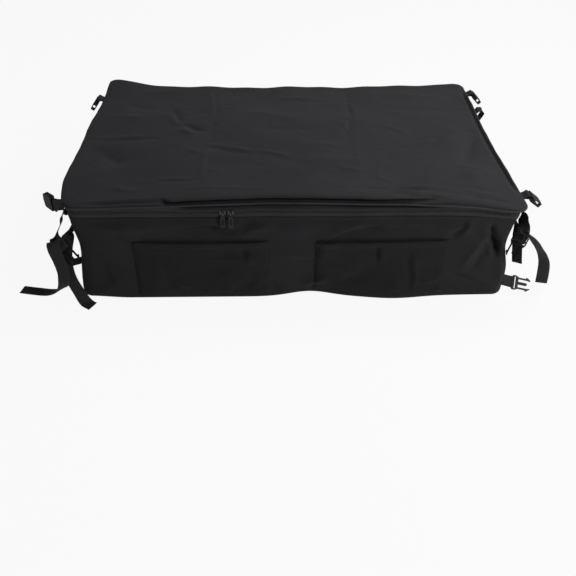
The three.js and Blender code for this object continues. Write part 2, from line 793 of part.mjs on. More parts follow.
const corners = {
  left_front: {
    out: -1,
    back: -1,
    topTab: { y: 19, rise: -1, way: [-1, 0, 0], width: [0, 0, 1], buckleWay: [-0.72, 0.69, 0] },
    bottomTab: { y: 35, z: 80, way: [-0.95, 0, -0.3], width: [0, 1, 0], buckleWay: [-0.3, 0, -0.95] },
    adjuster: { at: [16, 10, 130], way: [0.66, -0.45, -0.6], width: [-0.75, -0.4, -0.53] },
    upperRoot: { y: 39, z: 198 },
    head: [
      ...flat([0, -1, 0], [6, 39, 199], [12, 35, 191], [15, 28, 178]),
      { at: [25, 21, 160], width: [-0.1, -1, -0.1] },
      { at: [30, 19, 148], width: [-0.5, -0.8, -0.4] },
    ],
    tail: [
      { at: [31, 6, 149], width: [-0.8, -0.6, -0.3] },
      { at: [29, -6, 143], width: [-0.9, -0.4, -0.1] },
      { at: [20, -17, 118], width: [-1, -0.1, 0] },
      { at: [16, -20, 86], width: [-1, -0.1, 0] },
      { at: [23, -17, 54], width: [-0.9, -0.5, 0] },
      { at: [43, -2, 27], width: [-0.6, -0.8, 0] },
      { at: [71, 16, 8], width: [-0.4, -0.9, 0] },
      { at: [103, 29, 1.4], width: [-0.3, -1, 0] },
      { at: [135, 36, 1], width: [-0.3, -1, 0] },
    ],
    lowerRoot: { y: 37, z: 160 },
    lower: [
      { at: [1, 37, 160], width: [0, 1, 0] },
      { at: [7, 36, 152], width: [0.4, 0.9, 0] },
      { at: [9, 33, 140], width: [0.9, 0.3, 0] },
      { at: [15, 25, 116], width: [1, 0.1, 0] },
      { at: [16, 10, 88], width: [1, 0.1, 0] },
      { at: [11, 1, 60], width: [1, 0, 0.15] },
      { at: [-1, -6, 28], width: [1, 0.1, 0.2] },
      { at: [-14, -14, 6], width: [0.9, 0.4, 0] },
      { at: [-30, -24, 1], width: [0.8, 0.6, 0] },
    ],
  },
  right_front: {
    out: 1,
    back: -1,
    topTab: { y: 53, rise: -2, way: [0.96, 0, 0.28], width: [0, 1, 0], buckleWay: [0.8, 0, -0.6] },
    bottomTab: {
      ...{ y: 22, z: 29, way: [0.94, 0, -0.3], width: [0.2, 0.75, 0.63] },
      buckleWay: [0.87, -0.3, -0.35],
    },
    adjuster: { at: [4, 4, 146], way: [-0.35, -0.25, -0.9], width: [-0.85, 0.5, 0.2] },
    upperRoot: { y: 43, z: 197 },
    head: [
      ...flat([0, 1, 0], [8, 43, 197], [11, 39, 190]),
      { at: [11, 26, 179], width: [-0.4, 0.9, 0] },
      { at: [11, 15, 168], width: [-0.7, 0.7, 0.1] },
    ],
    tail: [
      { at: [11, -2, 164], width: [-0.8, 0.6, 0] },
      { at: [18, -6, 162], width: [-0.7, 0.7, 0] },
      ...flat([-0.65, 0.75, 0], [30, -4, 151], [45, 3, 131]),
      { at: [62, 14, 106], width: [-0.7, 0.7, 0] },
      { at: [79, 26, 72], width: [-0.8, 0.6, 0] },
      { at: [88, 35, 36], width: [-0.9, 0.4, 0] },
      { at: [93, 41, 4], width: [-0.95, 0.3, 0] },
    ],
    lowerRoot: { y: 44, z: 166 },
    lower: [
      { at: [4, 44, 166], width: [0, -1, 0] },
      { at: [8, 42, 156], width: [0.3, -1, 0] },
      ...flat([0.6, -0.8, 0], [12, 36, 130], [15, 27, 100], [18, 20, 76]),
    ],
  },
  right_back: {
    out: 1,
    back: 1,
    topTab: { y: -69, rise: -1, way: [0.96, 0, 0.28], width: [0, 1, 0], buckleWay: [0.7, 0, -0.7] },
    bottomTab: { y: -19, z: 40, way: [0.94, 0, -0.3], width: [0.3, 0, 0.94], buckleWay: [0.8, 0, -0.6] },
    adjuster: { at: [13, -93, 118], way: [-0.1, 0, -1], width: [0, -1, 0] },
    upperRoot: { y: -119, z: 194 },
    head: [
      ...flat([0, -1, 0], [9, -119, 196], [23, -117, 206], [35, -111, 200]),
      ...flat([0, -1, 0], [33, -99, 174], [22, -93, 146]),
    ],
    tail: [
      ...flat([0, -1, 0], [27, -93, 140], [36, -93, 132], [40, -93, 104], [43, -93, 60]),
      ...flat([0, -1, 0], [47, -93, 16], [61, -93, 1.4], [87, -93, 1]),
    ],
    lowerRoot: { y: -43, z: 168 },
    lower: flat([0, 1, 0], [6, -43, 168], [13, -43, 158], [15, -43, 116], [18, -43, 78]),
  },
  left_back: {
    out: -1,
    back: 1,
    topTab: { y: -101, rise: -1, way: [-0.96, 0, 0.28], width: [0, -1, 0], buckleWay: [-0.6, 0, -0.8] },
    bottomTab: { y: -19, z: 40, way: [-0.94, 0, -0.3], width: [0.3, 0, -0.94], buckleWay: [-0.8, 0, -0.6] },
    adjuster: { at: [13, -83, 112], way: [0.1, 0, -1], width: [0, 1, 0] },
    upperRoot: { y: -83, z: 190 },
    head: flat([0, 1, 0], [7, -83, 190], [17, -83, 182], [23, -83, 160], [20, -83, 140]),
    tail: [
      ...flat([0, 1, 0], [27, -83, 134], [36, -83, 126], [40, -83, 100], [43, -83, 60]),
      ...flat([0, 1, 0], [47, -83, 16], [61, -83, 1.4], [87, -83, 1]),
    ],
    lowerRoot: { y: -37, z: 168 },
    lower: flat([0, -1, 0], [6, -37, 168], [13, -37, 158], [16, -37, 116], [19, -37, 78]),
  },
};

// Where the middle of a tab's root lies along X, so that its end just clears what it is sewn to
function seatedX(out, tab, pointAt) {
  const frame = frameOf([0, 0, 0], tab.way, tab.width);
  const [way, along, normal] = [new THREE.Vector3(), new THREE.Vector3(), new THREE.Vector3()];
  frame.extractBasis(way, along, normal);
  const reaches = [-1, -0.5, 0, 0.5, 1].flatMap((across) =>
    [-1, 1].map((face) => {
      const edge = along.clone().multiplyScalar((across * webWidth) / 2);
      edge.addScaledVector(normal, face * webThickness);
      return out * (pointAt(tab.y + edge.y, tab.z + edge.z).x - edge.x);
    }),
  );
  return out * (Math.max(...reaches) + rootGap);
}

// The point of an end wall that lies at y and z once the cloth has settled
function onEndWall(out, y, z) {
  const name = out > 0 ? "right" : "left";
  let p = onWall(name, out * y, z);
  const spot = { y, z };
  for (let step = 0; step < 4; step++) {
    spot.y += y - p.y;
    spot.z += z - p.z;
    p = onWall(name, out * spot.y, spot.z);
  }
  return p;
}

// A folded tab and the buckle half on it, standing out from an end of the bag
function tabWithBuckle(name, half, geometry, { out, tab, pointAt, length }) {
  const rig = new THREE.Group();
  const way = vector(tab.way).normalize();
  const root = new THREE.Vector3(seatedX(out, tab, pointAt), tab.y, tab.z);
  rig.position.copy(root.addScaledVector(way, length));
  bag.add(rig);
  const fold = piece(`${name}_tab`, foldedTab(length), webFinish, rig);
  fold.quaternion.setFromRotationMatrix(frameOf([0, 0, 0], tab.way, tab.width));
  const buckle = piece(`${name}_${half}_buckle`, geometry, plasticFinish, rig);
  buckle.quaternion.setFromRotationMatrix(frameOf([0, 0, 0], turnedAbout(tab), tab.width));
}

// The way a buckle points, as far as its bar lets it
function turnedAbout({ buckleWay, width }) {
  const bar = vector(width).normalize();
  const way = vector(buckleWay);
  return way.addScaledVector(bar, -way.dot(bar)).toArray();
}

// A point that is given from a corner of the rim
const fromCorner = ({ out, back }, [x, y, z]) => [out * (halfWidth + x), back * halfDepth + y, z];

const strapPoints = (corner, points) =>
  points.map(({ at, width }) => ({ at: vector(fromCorner(corner, at)), width: vector(width) }));

// The points of a strap whose end is sewn to a wall
function sewnStrap(corner, pointAt, root, points) {
  const { out } = corner;
  const width = points[0].width;
  const [, y, z] = fromCorner(corner, [0, root.y, root.z]);
  const x = seatedX(out, { y, z, way: [out, 0, 0], width }, pointAt);
  return [{ at: vector([x, y, z]), width: vector(width) }, ...strapPoints(corner, points)];
}

for (const [corner, rig] of Object.entries(corners)) {
  const { out, back, topTab, bottomTab } = rig;
  const side = out > 0 ? "right" : "left";
  const rimAt = (y) => shellPoint(rimPlace(side, out * y), -pipingRadius, rimHeight);
  const wallAt = (y, z) => onEndWall(out, y, z);
  const topY = back * halfDepth + topTab.y;
  tabWithBuckle(`${corner}_top`, "female", femaleHalf(), {
    out,
    tab: { ...topTab, y: topY, z: rimAt(topY).z + topTab.rise },
    pointAt: rimAt,
    length: topTabLength,
  });
  tabWithBuckle(`${corner}_bottom`, "male", maleHalf(false), {
    out,
    tab: { ...bottomTab, y: back * halfDepth + bottomTab.y },
    pointAt: wallAt,
    length: bottomTabLength,
  });
  const { at, way, width } = rig.adjuster;
  const frame = frameOf(fromCorner(rig, at), way, width);
  piece(`${corner}_adjuster_buckle`, maleHalf(true), plasticFinish).applyMatrix4(frame);
  const across = new THREE.Vector3().setFromMatrixColumn(frame, 1);
  const threaded = thread.map(([x, z]) => ({ at: vector([x, 0, z]).applyMatrix4(frame), width: across }));
  const head = sewnStrap(rig, wallAt, rig.upperRoot, rig.head);
  const upper = [...head, ...threaded, ...strapPoints(rig, rig.tail)];
  piece(`${corner}_upper_strap`, ribbon(upper, ribbonSteps), webFinish);
  const lower = sewnStrap(rig, wallAt, rig.lowerRoot, rig.lower);
  piece(`${corner}_lower_strap`, ribbon(lower, ribbonSteps), webFinish);
}

export default bag;
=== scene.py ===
# %% [markdown]
# # The rear seat bag of a golf cart
# The object is a wide, soft cargo bag that lies on the rear seat deck of a golf cart: a sewn box of
# coated oxford cloth, closed by a zip round its front and both ends, with two patch pockets on the
# front and webbing with side-release buckles at its corners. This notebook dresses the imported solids
# of the bag: stiff plastic and metal keep their solids and get a finish, while everything that is
# cloth is made again here as a thin, creased shell that stands where its solid stands.

# %% [markdown]
# ## Load the frame
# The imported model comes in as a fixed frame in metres, with X to the right along the front, Y to the
# back and Z up. All sizes in this notebook are written in millimetres, as a sewing pattern is, and
# one function turns them to metres when a mesh is made.

import json
import math

import bpy
import numpy as np
from mathutils import Matrix, Vector


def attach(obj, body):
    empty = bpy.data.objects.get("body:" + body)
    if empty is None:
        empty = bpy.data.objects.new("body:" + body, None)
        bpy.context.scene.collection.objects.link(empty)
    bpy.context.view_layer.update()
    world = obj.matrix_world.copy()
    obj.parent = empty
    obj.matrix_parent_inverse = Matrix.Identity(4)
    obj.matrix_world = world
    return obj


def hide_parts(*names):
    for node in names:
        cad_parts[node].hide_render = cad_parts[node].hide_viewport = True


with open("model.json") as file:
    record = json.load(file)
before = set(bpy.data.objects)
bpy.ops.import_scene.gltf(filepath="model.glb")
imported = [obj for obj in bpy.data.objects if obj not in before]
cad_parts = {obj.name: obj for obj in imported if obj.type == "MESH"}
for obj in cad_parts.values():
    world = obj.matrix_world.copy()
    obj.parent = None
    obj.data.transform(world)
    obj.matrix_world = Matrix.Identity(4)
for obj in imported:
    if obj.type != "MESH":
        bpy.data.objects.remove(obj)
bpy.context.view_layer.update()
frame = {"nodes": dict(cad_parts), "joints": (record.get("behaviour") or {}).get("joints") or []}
MM = 0.001

# %% [markdown]
# ## The camera
# The photograph looks down on the bag from the front, at about 39 degrees. The camera was fitted to
# the corners of the lid's seam and of the base, which gives its place and its three turns. A camera
# in Blender looks along its own -Z, so the matrix is built from the directions right, up and back.

# %% The camera
CAMERA_PLACE = (-0.0435, -1.4621, 0.9663)
FOCAL_LENGTH, SENSOR_WIDTH = 43.59, 36
pitch, yaw, roll = (math.radians(v) for v in (39.03, 1.52, 0.48))
ahead = Vector((math.sin(yaw) * math.cos(pitch), math.cos(yaw) * math.cos(pitch), -math.sin(pitch)))
level = ahead.cross(Vector((0, 0, 1))).normalized()
above = level.cross(ahead)
right = level * math.cos(roll) + above * math.sin(roll)
up = above * math.cos(roll) - level * math.sin(roll)
camera = bpy.data.objects.new("photo_camera", bpy.data.cameras.new("photo_camera"))
camera.data.lens, camera.data.sensor_width = FOCAL_LENGTH, SENSOR_WIDTH
turn = Matrix((right, up, -ahead)).transposed().to_4x4()
camera.matrix_world = Matrix.Translation(CAMERA_PLACE) @ turn
bpy.context.scene.collection.objects.link(camera)
bpy.context.scene.camera = camera
bpy.context.scene.view_settings.view_transform = "Standard"
print("camera", [round(v, 3) for v in camera.location], "lens", camera.data.lens)

# %% [markdown]
# ## Colours and nodes
# Colours are written as sRGB hex values, as they are picked, and a shader wants them linear.
# One function does that, and another adds a node with its settings and its links, so that a material
# reads as a short list of what its surface is made of. Sums in a material get a short form of it.

# %% Colours and nodes
def linear(hex_colour):
    """An sRGB hex colour as linear RGBA."""
    parts = [int(hex_colour[i : i + 2], 16) / 255 for i in (0, 2, 4)]
    return [p / 12.92 if p <= 0.04045 else ((p + 0.055) / 1.055) ** 2.4 for p in parts] + [1.0]


def add(tree, kind, settings=None, **links):
    """Adds a node. A setting names a property or an input; a link names an input and gives an output."""
    made = tree.nodes.new(kind)
    for name, value in (settings or {}).items():
        if isinstance(name, str) and name in made.bl_rna.properties:
            setattr(made, name, value)
        else:
            made.inputs[name].default_value = value
    for name, output in links.items():
        slot = int(name[1:]) if name[1:].isdigit() else name
        tree.links.new(output, made.inputs[slot])
    return made


def maths(tree, operation, *values):
    """The result of a maths node. Each value is a number or the output of a node."""
    numbers = {k: v for k, v in enumerate(values) if isinstance(v, float)}
    links = {f"i{k}": v for k, v in enumerate(values) if not isinstance(v, float)}
    return add(tree, "ShaderNodeMath", {"operation": operation, **numbers}, **links).outputs[0]


def new_material(name, settings):
    """A material with a principled shader: returns the material, its tree and its shader."""
    made = bpy.data.materials.new(name)
    made.use_nodes = True
    made.node_tree.nodes.clear()
    shader = add(made.node_tree, "ShaderNodeBsdfPrincipled", settings)
    add(made.node_tree, "ShaderNodeOutputMaterial", Surface=shader.outputs[0])
    return made, made.node_tree, shader


print("linear 2b2b2d:", [round(v, 4) for v in linear("2b2b2d")[:3]])

# %% [markdown]
# ## Floor and light
# The photograph has a plain white ground. A studio gets that with a lit paper sweep, which would
# throw far too much light back on a black bag, so here the floor shows white to the camera and only
# a small part of that is true paper, which takes the bag's shadow. Shiny things mirror a quarter of
# the white. One soft light hangs above, behind and to the right, where the lid is brightest, and one
# stands high in front on the right: it lights the piping and draws out the folds of the front.

# %% Floor and light
paper, tree, shader = new_material("white_paper", {"Base Color": linear("e8e8e8"), "Roughness": 0.9})
ray = add(tree, "ShaderNodeLightPath").outputs
shine = maths(tree, "MULTIPLY", ray["Is Glossy Ray"], 0.25)
share = maths(tree, "MULTIPLY", maths(tree, "MAXIMUM", ray["Is Camera Ray"], shine), 0.92)
glow = add(tree, "ShaderNodeEmission", {"Color": (1, 1, 1, 1), "Strength": 1.0})
both = add(tree, "ShaderNodeMixShader", i0=share, i1=shader.outputs[0], i2=glow.outputs[0])
tree.links.new(both.outputs[0], tree.nodes["Material Output"].inputs["Surface"])

mesh = bpy.data.meshes.new("studio_floor")
half = 6.0  # metres
corner_signs = [(-1, -1), (1, -1), (1, 1), (-1, 1)]
mesh.from_pydata([(half * x, half * y, 0) for x, y in corner_signs], [], [(0, 1, 2, 3)])
floor = bpy.data.objects.new("studio_floor", mesh)
floor.data.materials.append(paper)
bpy.context.scene.collection.objects.link(floor)

world = bpy.context.scene.world or bpy.data.worlds.new("studio")
bpy.context.scene.world = world
world.use_nodes = True
tree = world.node_tree
tree.nodes.clear()
ray = add(tree, "ShaderNodeLightPath").outputs
seen = maths(tree, "MAXIMUM", ray["Is Camera Ray"], ray["Is Transmission Ray"])
room = add(tree, "ShaderNodeBackground", {"Color": linear("f4f5f8"), "Strength": 0.13})
white = add(tree, "ShaderNodeBackground", {"Color": (1, 1, 1, 1), "Strength": 1.0})
mixed = add(tree, "ShaderNodeMixShader", i0=seen, i1=room.outputs[0], i2=white.outputs[0])
add(tree, "ShaderNodeOutputWorld", Surface=mixed.outputs[0])


def softbox(name, at, towards, size, power):
    """A square soft light that looks at a point."""
    lamp = bpy.data.objects.new(name, bpy.data.lights.new(name, "AREA"))
    lamp.data.size, lamp.data.energy = size, power
    lamp.location = at
    lamp.rotation_mode = "QUATERNION"
    lamp.rotation_quaternion = (Vector(towards) - Vector(at)).to_track_quat("-Z", "Y")
    bpy.context.scene.collection.objects.link(lamp)


softbox("key_light", (1.3, 0.7, 2.2), (0, 0, 0.1), 1.0, 24)
softbox("side_light", (2.0, -1.9, 1.9), (0.3, -0.3, 0.1), 0.8, 30)

# %% [markdown]
# ## Cloth, woven and coated
# The bag is oxford cloth: thick polyester yarn in a basket weave, 600 denier, with a coating inside.
# Real yarns lie about 0.6 mm apart, which is too fine to show from a metre and a half away, so the
# weave is drawn at 1.3 mm. Its rough, slightly fuzzy yarns give a soft sheen and no sharp highlight.
# Every cloth mesh carries UVs in metres measured along its own warp and weft, so the weave follows
# the way each panel was cut. Handling leaves broad, faint differences in tone.

# %% Cloth materials
def woven(name, dark, light, yarn=1.3, roughness=0.8, relief=0.3, rows=1.0):
    """A woven finish: two crossing sets of yarn as tone and bump, over broad faint unevenness."""
    made, tree, shader = new_material(name, {
        "Roughness": roughness, "IOR": 1.45, "Sheen Weight": 0.1, "Sheen Roughness": 0.5,
        "Sheen Tint": linear("b8bac0"),
    })
    flat = add(tree, "ShaderNodeUVMap", {"uv_map": "cut"}).outputs[0]
    body = add(tree, "ShaderNodeTexCoord").outputs["Object"]
    # A sine wave texture has one band in 2 pi / (20 * scale) units of its vector
    scale = 2 * math.pi / (20 * yarn * MM)
    warp, weft = (
        add(tree, "ShaderNodeTexWave", {"bands_direction": way, "Scale": bands}, Vector=flat).outputs[1]
        for way, bands in (("X", scale), ("Y", scale * rows))
    )
    weave = maths(tree, "MULTIPLY", warp, weft)
    broad = add(tree, "ShaderNodeTexNoise", {"Scale": 9.0, "Detail": 4.0, "Roughness": 0.6}, Vector=body)
    fine = add(tree, "ShaderNodeTexNoise", {"Scale": 420.0, "Detail": 2.0}, Vector=body)
    spread = {"From Min": 0.35, "From Max": 0.65, "To Min": 0.0, "To Max": 0.55}
    tone = add(tree, "ShaderNodeMapRange", spread, Value=broad.outputs[0])
    thread = maths(tree, "MULTIPLY_ADD", weave, 0.35, tone.outputs[0])
    tones = {"data_type": "RGBA", 6: linear(dark), 7: linear(light)}
    colour = add(tree, "ShaderNodeMix", tones, i0=thread)
    tree.links.new(colour.outputs[2], shader.inputs["Base Color"])
    height = maths(tree, "MULTIPLY_ADD", fine.outputs[0], 0.5, weave)
    bump = add(tree, "ShaderNodeBump", {"Strength": relief, "Distance": 0.0004}, Height=height)
    tree.links.new(bump.outputs[0], shader.inputs["Normal"])
    return made


lid_oxford = woven("lid_oxford_cloth", "28282a", "303033")
# The walls are the lid's cloth, drawn darker here as painted shade on the upright sides.
wall_oxford_painted_shade = woven("wall_oxford_painted_shade_cloth", "222224", "2a2a2d")
# The pockets are the same cloth again, drawn darker still as painted shade.
pocket_oxford_painted_shade = woven("pocket_oxford_painted_shade_cloth", "151516", "1c1c1e")
# The zip tape is dark like the cloth, drawn paler here as a painted highlight where the band faces the
# light.
zip_tape_painted_highlight = woven("woven_zip_tape_painted_highlight", "323233", "404042", yarn=1.0, roughness=0.75, rows=0.5)
# The piping is drawn paler still, as a painted highlight along the rim.
piping_tape_painted_highlight = woven("piping_binding_painted_highlight", "363638", "464649", yarn=1.0, roughness=0.6)
ribs = {"yarn": 2.1, "roughness": 0.7, "relief": 0.8, "rows": 0.7}
strap_webbing = woven("polyester_webbing", "202021", "343435", **ribs)
cloths = (lid_oxford, wall_oxford_painted_shade, pocket_oxford_painted_shade, zip_tape_painted_highlight, piping_tape_painted_highlight, strap_webbing)
print("cloth materials:", [m.name for m in cloths])

# %% [markdown]
# ## Thread, plastic and metal
# The seams are sewn with bonded nylon thread, a little darker than the walls. The buckles are acetal
# from a mould with a fine spark-eroded grain of about 0.3 mm, which leaves a soft satin. The zip's
# coil is a nylon monofilament, and its sliders and pulls are die-cast zinc under black lacquer, worn
# pale along the edges that fingers rub.

# %% Thread, plastic and metal materials
def solid_finish(name, hex_colour, roughness, grain_mm, relief, metallic=0.0, ior=1.5, coat=0.0):
    """A smooth material with a fine grain in its bump and its gloss, and paler edges."""
    settings = {"Metallic": metallic, "IOR": ior, "Coat Weight": coat}
    made, tree, shader = new_material(name, settings)
    body = add(tree, "ShaderNodeTexCoord").outputs["Object"]
    grain = add(tree, "ShaderNodeTexNoise", {"Scale": 1 / (grain_mm * MM), "Detail": 3.0}, Vector=body)
    broad = add(tree, "ShaderNodeTexNoise", {"Scale": 60.0, "Detail": 3.0}, Vector=body)
    limits = {"To Min": roughness - 0.08, "To Max": roughness + 0.1}
    gloss = add(tree, "ShaderNodeMapRange", limits, Value=broad.outputs[0])
    tree.links.new(gloss.outputs[0], shader.inputs["Roughness"])
    bump = add(tree, "ShaderNodeBump", {"Strength": relief, "Distance": 0.0002}, Height=grain.outputs[0])
    tree.links.new(bump.outputs[0], shader.inputs["Normal"])
    edge = add(tree, "ShaderNodeNewGeometry").outputs["Pointiness"]
    worn = add(tree, "ShaderNodeMapRange", {"From Min": 0.53, "From Max": 0.62}, Value=edge)
    pale = [min(1.0, c * 2.4 + 0.02) for c in linear(hex_colour)[:3]] + [1.0]
    tones = {"data_type": "RGBA", 6: linear(hex_colour), 7: pale}
    colour = add(tree, "ShaderNodeMix", tones, i0=worn.outputs[0])
    tree.links.new(colour.outputs[2], shader.inputs["Base Color"])
    return made


nylon_thread = solid_finish("bonded_nylon_thread", "1c1c1e", 0.55, 0.4, 0.3, ior=1.53)
acetal = solid_finish("moulded_acetal", "131314", 0.5, 0.3, 0.3, ior=1.42)
nylon_coil = solid_finish("nylon_zip_coil", "232325", 0.4, 0.4, 0.2, ior=1.53)
black_zinc = solid_finish("lacquered_zinc", "505054", 0.28, 0.5, 0.15, metallic=0.95, coat=0.5)
print("stiff materials:", [m.name for m in (nylon_thread, acetal, nylon_coil, black_zinc)])

# %% [markdown]
# ## How the filled bag stands
# A full bag is not a box. Its lid's seam is a rounded rectangle that the cargo and the corners pull
# about: the left end swells, the right end is hollow, and the back edge sags between its corners.
# The solids were made from these measures, so the same few profiles are worked out again here, for
# whole arrays of points at once. A wall point is found from its place along the rim and its height.

# %% How the filled bag stands
HALF_W, HALF_D, RIM_Z, CORNER = 457.0, 305.0, 229.0, 28.0
WALL_TOP, HEM_BOTTOM, WALL_FOOT = 204.2, 186.2, 2.3
# How far the walls lie inside the rim, at four even steps from their foot to their hem
corner_insets = {
    "left_front": [10, 14, 20, 9], "right_front": [3, 2, 15, 12],
    "right_back": [6, 15, 16, 8], "left_back": [8, 16, 16, 8],
}
side_insets = {
    "front": [2, 0, -1, -2], "right": [5, 15, 16, 8],
    "back": [6, 4, 3, 5], "left": [8, 17, 18, 8],
}
sides = {  # outward normal, half length, distance from the middle, corners at each end
    "front": (0, -1, HALF_W, HALF_D, "left_front", "right_front"),
    "right": (1, 0, HALF_D, HALF_W, "right_front", "right_back"),
    "back": (0, 1, HALF_W, HALF_D, "right_back", "left_back"),
    "left": (-1, 0, HALF_D, HALF_W, "left_back", "left_front"),
}
# Which corner of the rim, and how far it is pulled in x, y and z
corner_pulls = [(-1, -1, (6, 0, 0)), (1, -1, (6, -7, -9)), (-1, 1, (-6, 4, 8)), (1, 1, (-2, 0, -4))]
HALF_ARC = CORNER * math.pi / 4


def ease(v):
    """A smooth step from 0 to 1 over v from 0 to 1."""
    v = np.clip(v, 0, 1)
    return v * v * (3 - 2 * v)


def hump(v, middle, half):
    """A bell round a middle."""
    return np.exp(-(((v - middle) / half) ** 2))


def profile(values, share):
    """A smooth curve through values at even steps, read at a share of the way."""
    v = np.asarray(values, float)
    t = np.clip(share, 0, 1) * (len(v) - 1)
    i = np.minimum(np.floor(t).astype(int), len(v) - 1)
    a, b, c, d = (v[np.clip(i + k, 0, len(v) - 1)] for k in (-1, 0, 1, 2))
    w = t - i
    start, end = (c - a) / 2, (d - b) / 2
    return (2 * b - 2 * c + start + end) * w**3 + (-3 * b + 3 * c - 2 * start - end) * w**2 + start * w + b


def end_of(side):
    """The distance from the middle of a side to the middle of its corner's arc."""
    return sides[side][2] - CORNER + HALF_ARC


def rim(side, s):
    """The rim at distance s along a side: x, y and the outward normal."""
    nx, ny, half, reach = sides[side][:4]
    s = np.asarray(s, float)
    straight = half - CORNER
    bend = np.sign(s) * np.maximum(0, np.abs(s) - straight) / CORNER
    along = np.where(bend == 0, s, np.sign(s) * straight + CORNER * np.sin(bend))
    out = reach - CORNER * (1 - np.cos(bend))
    tx, ty = -ny, nx
    x, y = tx * along + nx * out, ty * along + ny * out
    return x, y, tx * np.sin(bend) + nx * np.cos(bend), ty * np.sin(bend) + ny * np.cos(bend)


def settled(x, y, z):
    """Where a point of the sewn box stands once the bag is filled."""
    swell = 0.8 * hump(y, -0.62 * HALF_D, 110) + 0.65 * hump(y, 0.13 * HALF_D, 150)
    hollow = np.cos(math.pi * y / (2 * HALF_D)) ** 2
    outward = np.where(x < 0, 20 * swell, -7 * hollow)
    lift = np.maximum(0, z - 10) / (RIM_Z - 10)
    px = x + np.sign(x) * outward * (x / HALF_W) ** 2
    py = y + np.zeros_like(px)
    between = 1 - (x / HALF_W) ** 4
    pz = z - 15 * between * ease(y / HALF_D) * lift
    # The seams ripple a little between the corners, but not where the sliders stand or end up
    behind = between * ease((y - 150) / 120) * lift**3
    before = between * ease((-y - 250) / 50) * lift**3 * (1 - hump(x, -135, 75)) * (1 - hump(x, 265, 60))
    pz = pz + behind * (1.5 * np.sin(x / 37 + 1) + 0.9 * np.sin(x / 16 + 2))
    py = py - before * (1.3 * np.sin(x / 61 + 0.6) + 0.8 * np.sin(x / 23 + 1))
    pz = pz + before * (0.9 * np.sin(x / 47 + 2) + 0.4 * np.sin(x / 19))
    # In its middle the front seam is lifted by the cloth behind it
    pz = pz + 3.5 * np.cos(math.pi * x / (2 * HALF_W)) ** 2 * ease((-y - 200) / 80) * ease((z - 221) / 6)
    for cx, cy, (dx, dy, dz) in corner_pulls:
        near = hump(np.hypot(x - cx * HALF_W, y - cy * HALF_D), 0, 80) * lift**2
        px, py, pz = px + dx * near, py + dy * near, pz + dz * near
    return np.stack(np.broadcast_arrays(px, py, pz), -1)


def shell(side, s, inset, z):
    """A point of the shell, a distance inside the rim, at a height."""
    x, y, nx, ny = rim(side, s)
    return settled(x - nx * inset, y - ny * inset, np.asarray(z, float))


def wall_inset(side, s, z):
    """How far a wall lies inside the rim."""
    s, z = np.asarray(s, float), np.asarray(z, float)
    share = np.clip((z - WALL_FOOT) / (HEM_BOTTOM - WALL_FOOT), 0, 1)
    to_corner = ease((np.abs(s) - (end_of(side) - 110)) / 110)
    inset = profile(side_insets[side], share)
    if side == "front":
        inset = inset + (17 * hump(s, 35, 60) - 10 * hump(s, 215, 75)) * (1 - share) ** 2
    low, high = (profile(corner_insets[name], share) for name in sides[side][4:])
    inset = inset + (np.where(s < 0, low, high) - inset) * to_corner
    hem = np.clip((z - HEM_BOTTOM) / (WALL_TOP - HEM_BOTTOM), 0, 1)
    return inset + (7.5 - inset) * hem


def setback(x, y):
    """How far the lid's front seam is drawn back in its middle."""
    return 12 * np.cos(math.pi * x / (2 * HALF_W)) ** 2 * np.maximum(0, -y / HALF_D) ** 4


check = shell("front", 0.0, wall_inset("front", 0.0, 100.0), 100.0)
print("middle of the front wall, in mm:", np.round(check, 1))

# %% [markdown]
# ## Folds
# Creases in thick coated cloth are long, soft ridges and grooves with sharp turns where they meet.
# Each fold is a line between two points with a width and a height, drawn to nothing at its ends. It
# wanders a little and has a sharp crest. Adding up such folds is quick, gives the same result each
# time, and lets each one be laid where the photograph shows it. A cloth simulation would fold the bag
# somewhere else each time it is tuned.

# %% Folds
def folded(u, v, folds):
    """Height of a set of folds at (u, v). A fold is (u0, v0, u1, v1, half width, height)."""
    total = np.zeros(np.broadcast(u, v).shape)
    for u0, v0, u1, v1, half, height in folds:
        length = math.hypot(u1 - u0, v1 - v0)
        du, dv = (u1 - u0) / length, (v1 - v0) / length
        along = (u - u0) * du + (v - v0) * dv
        across = (v - v0) * du - (u - u0) * dv
        across = across + 0.03 * length * np.sin(2.6 * along / length + u0) + 0.9 * np.sin(along / 8 + v0)
        taper = ease(along / (0.4 * length)) * ease((length - along) / (0.4 * length))
        total += 1.5 * height * taper * np.exp(-np.abs(across / half) ** 1.35)
    return total


def small_folds(low_u, high_u, low_v, high_v, count, seed):
    """Short shallow creases scattered over a panel."""
    chance = np.random.default_rng(seed)
    made = []
    for _ in range(count):
        u, v = chance.uniform(low_u, high_u), chance.uniform(low_v, high_v)
        angle, length = chance.uniform(-0.7, 0.7) + chance.choice([0, 0, 1.4]), chance.uniform(28, 95)
        height = chance.choice([-1, 1]) * chance.uniform(0.3, 0.85)
        end = (u + length * math.cos(angle), v + length * math.sin(angle))
        made.append((u, v, *end, chance.uniform(3, 6), height))
    return made


def rumple(u, v, size, height, seed):
    """Soft unevenness: a few long waves in seeded directions."""
    chance = np.random.default_rng(seed)
    total = np.zeros(np.broadcast(u, v).shape)
    for _ in range(9):
        angle, phase = chance.uniform(0, math.pi), chance.uniform(0, 2 * math.pi)
        wave = size * chance.uniform(0.6, 1.8)
        bent = 12 * np.sin(2 * math.pi * (u * math.sin(angle) + v * math.cos(angle)) / (2.7 * wave))
        total += np.sin(2 * math.pi * (u * math.cos(angle) + v * math.sin(angle) + bent) / wave + phase)
    return height * total / 3


print("a fold's height at its middle:", folded(np.array(50.0), np.array(0.0), [(0, 0, 100, 0, 5, 2)]))

# %% [markdown]
# ## Sheets of cloth
# Each panel starts as a grid of points on its outside. The same grid moved inwards along its normals
# makes the inside, and a border closes the two into a solid sheet, so that no edge is paper thin.
# The grid also gives each point its place on the flat cut, which becomes the UVs for the weave.

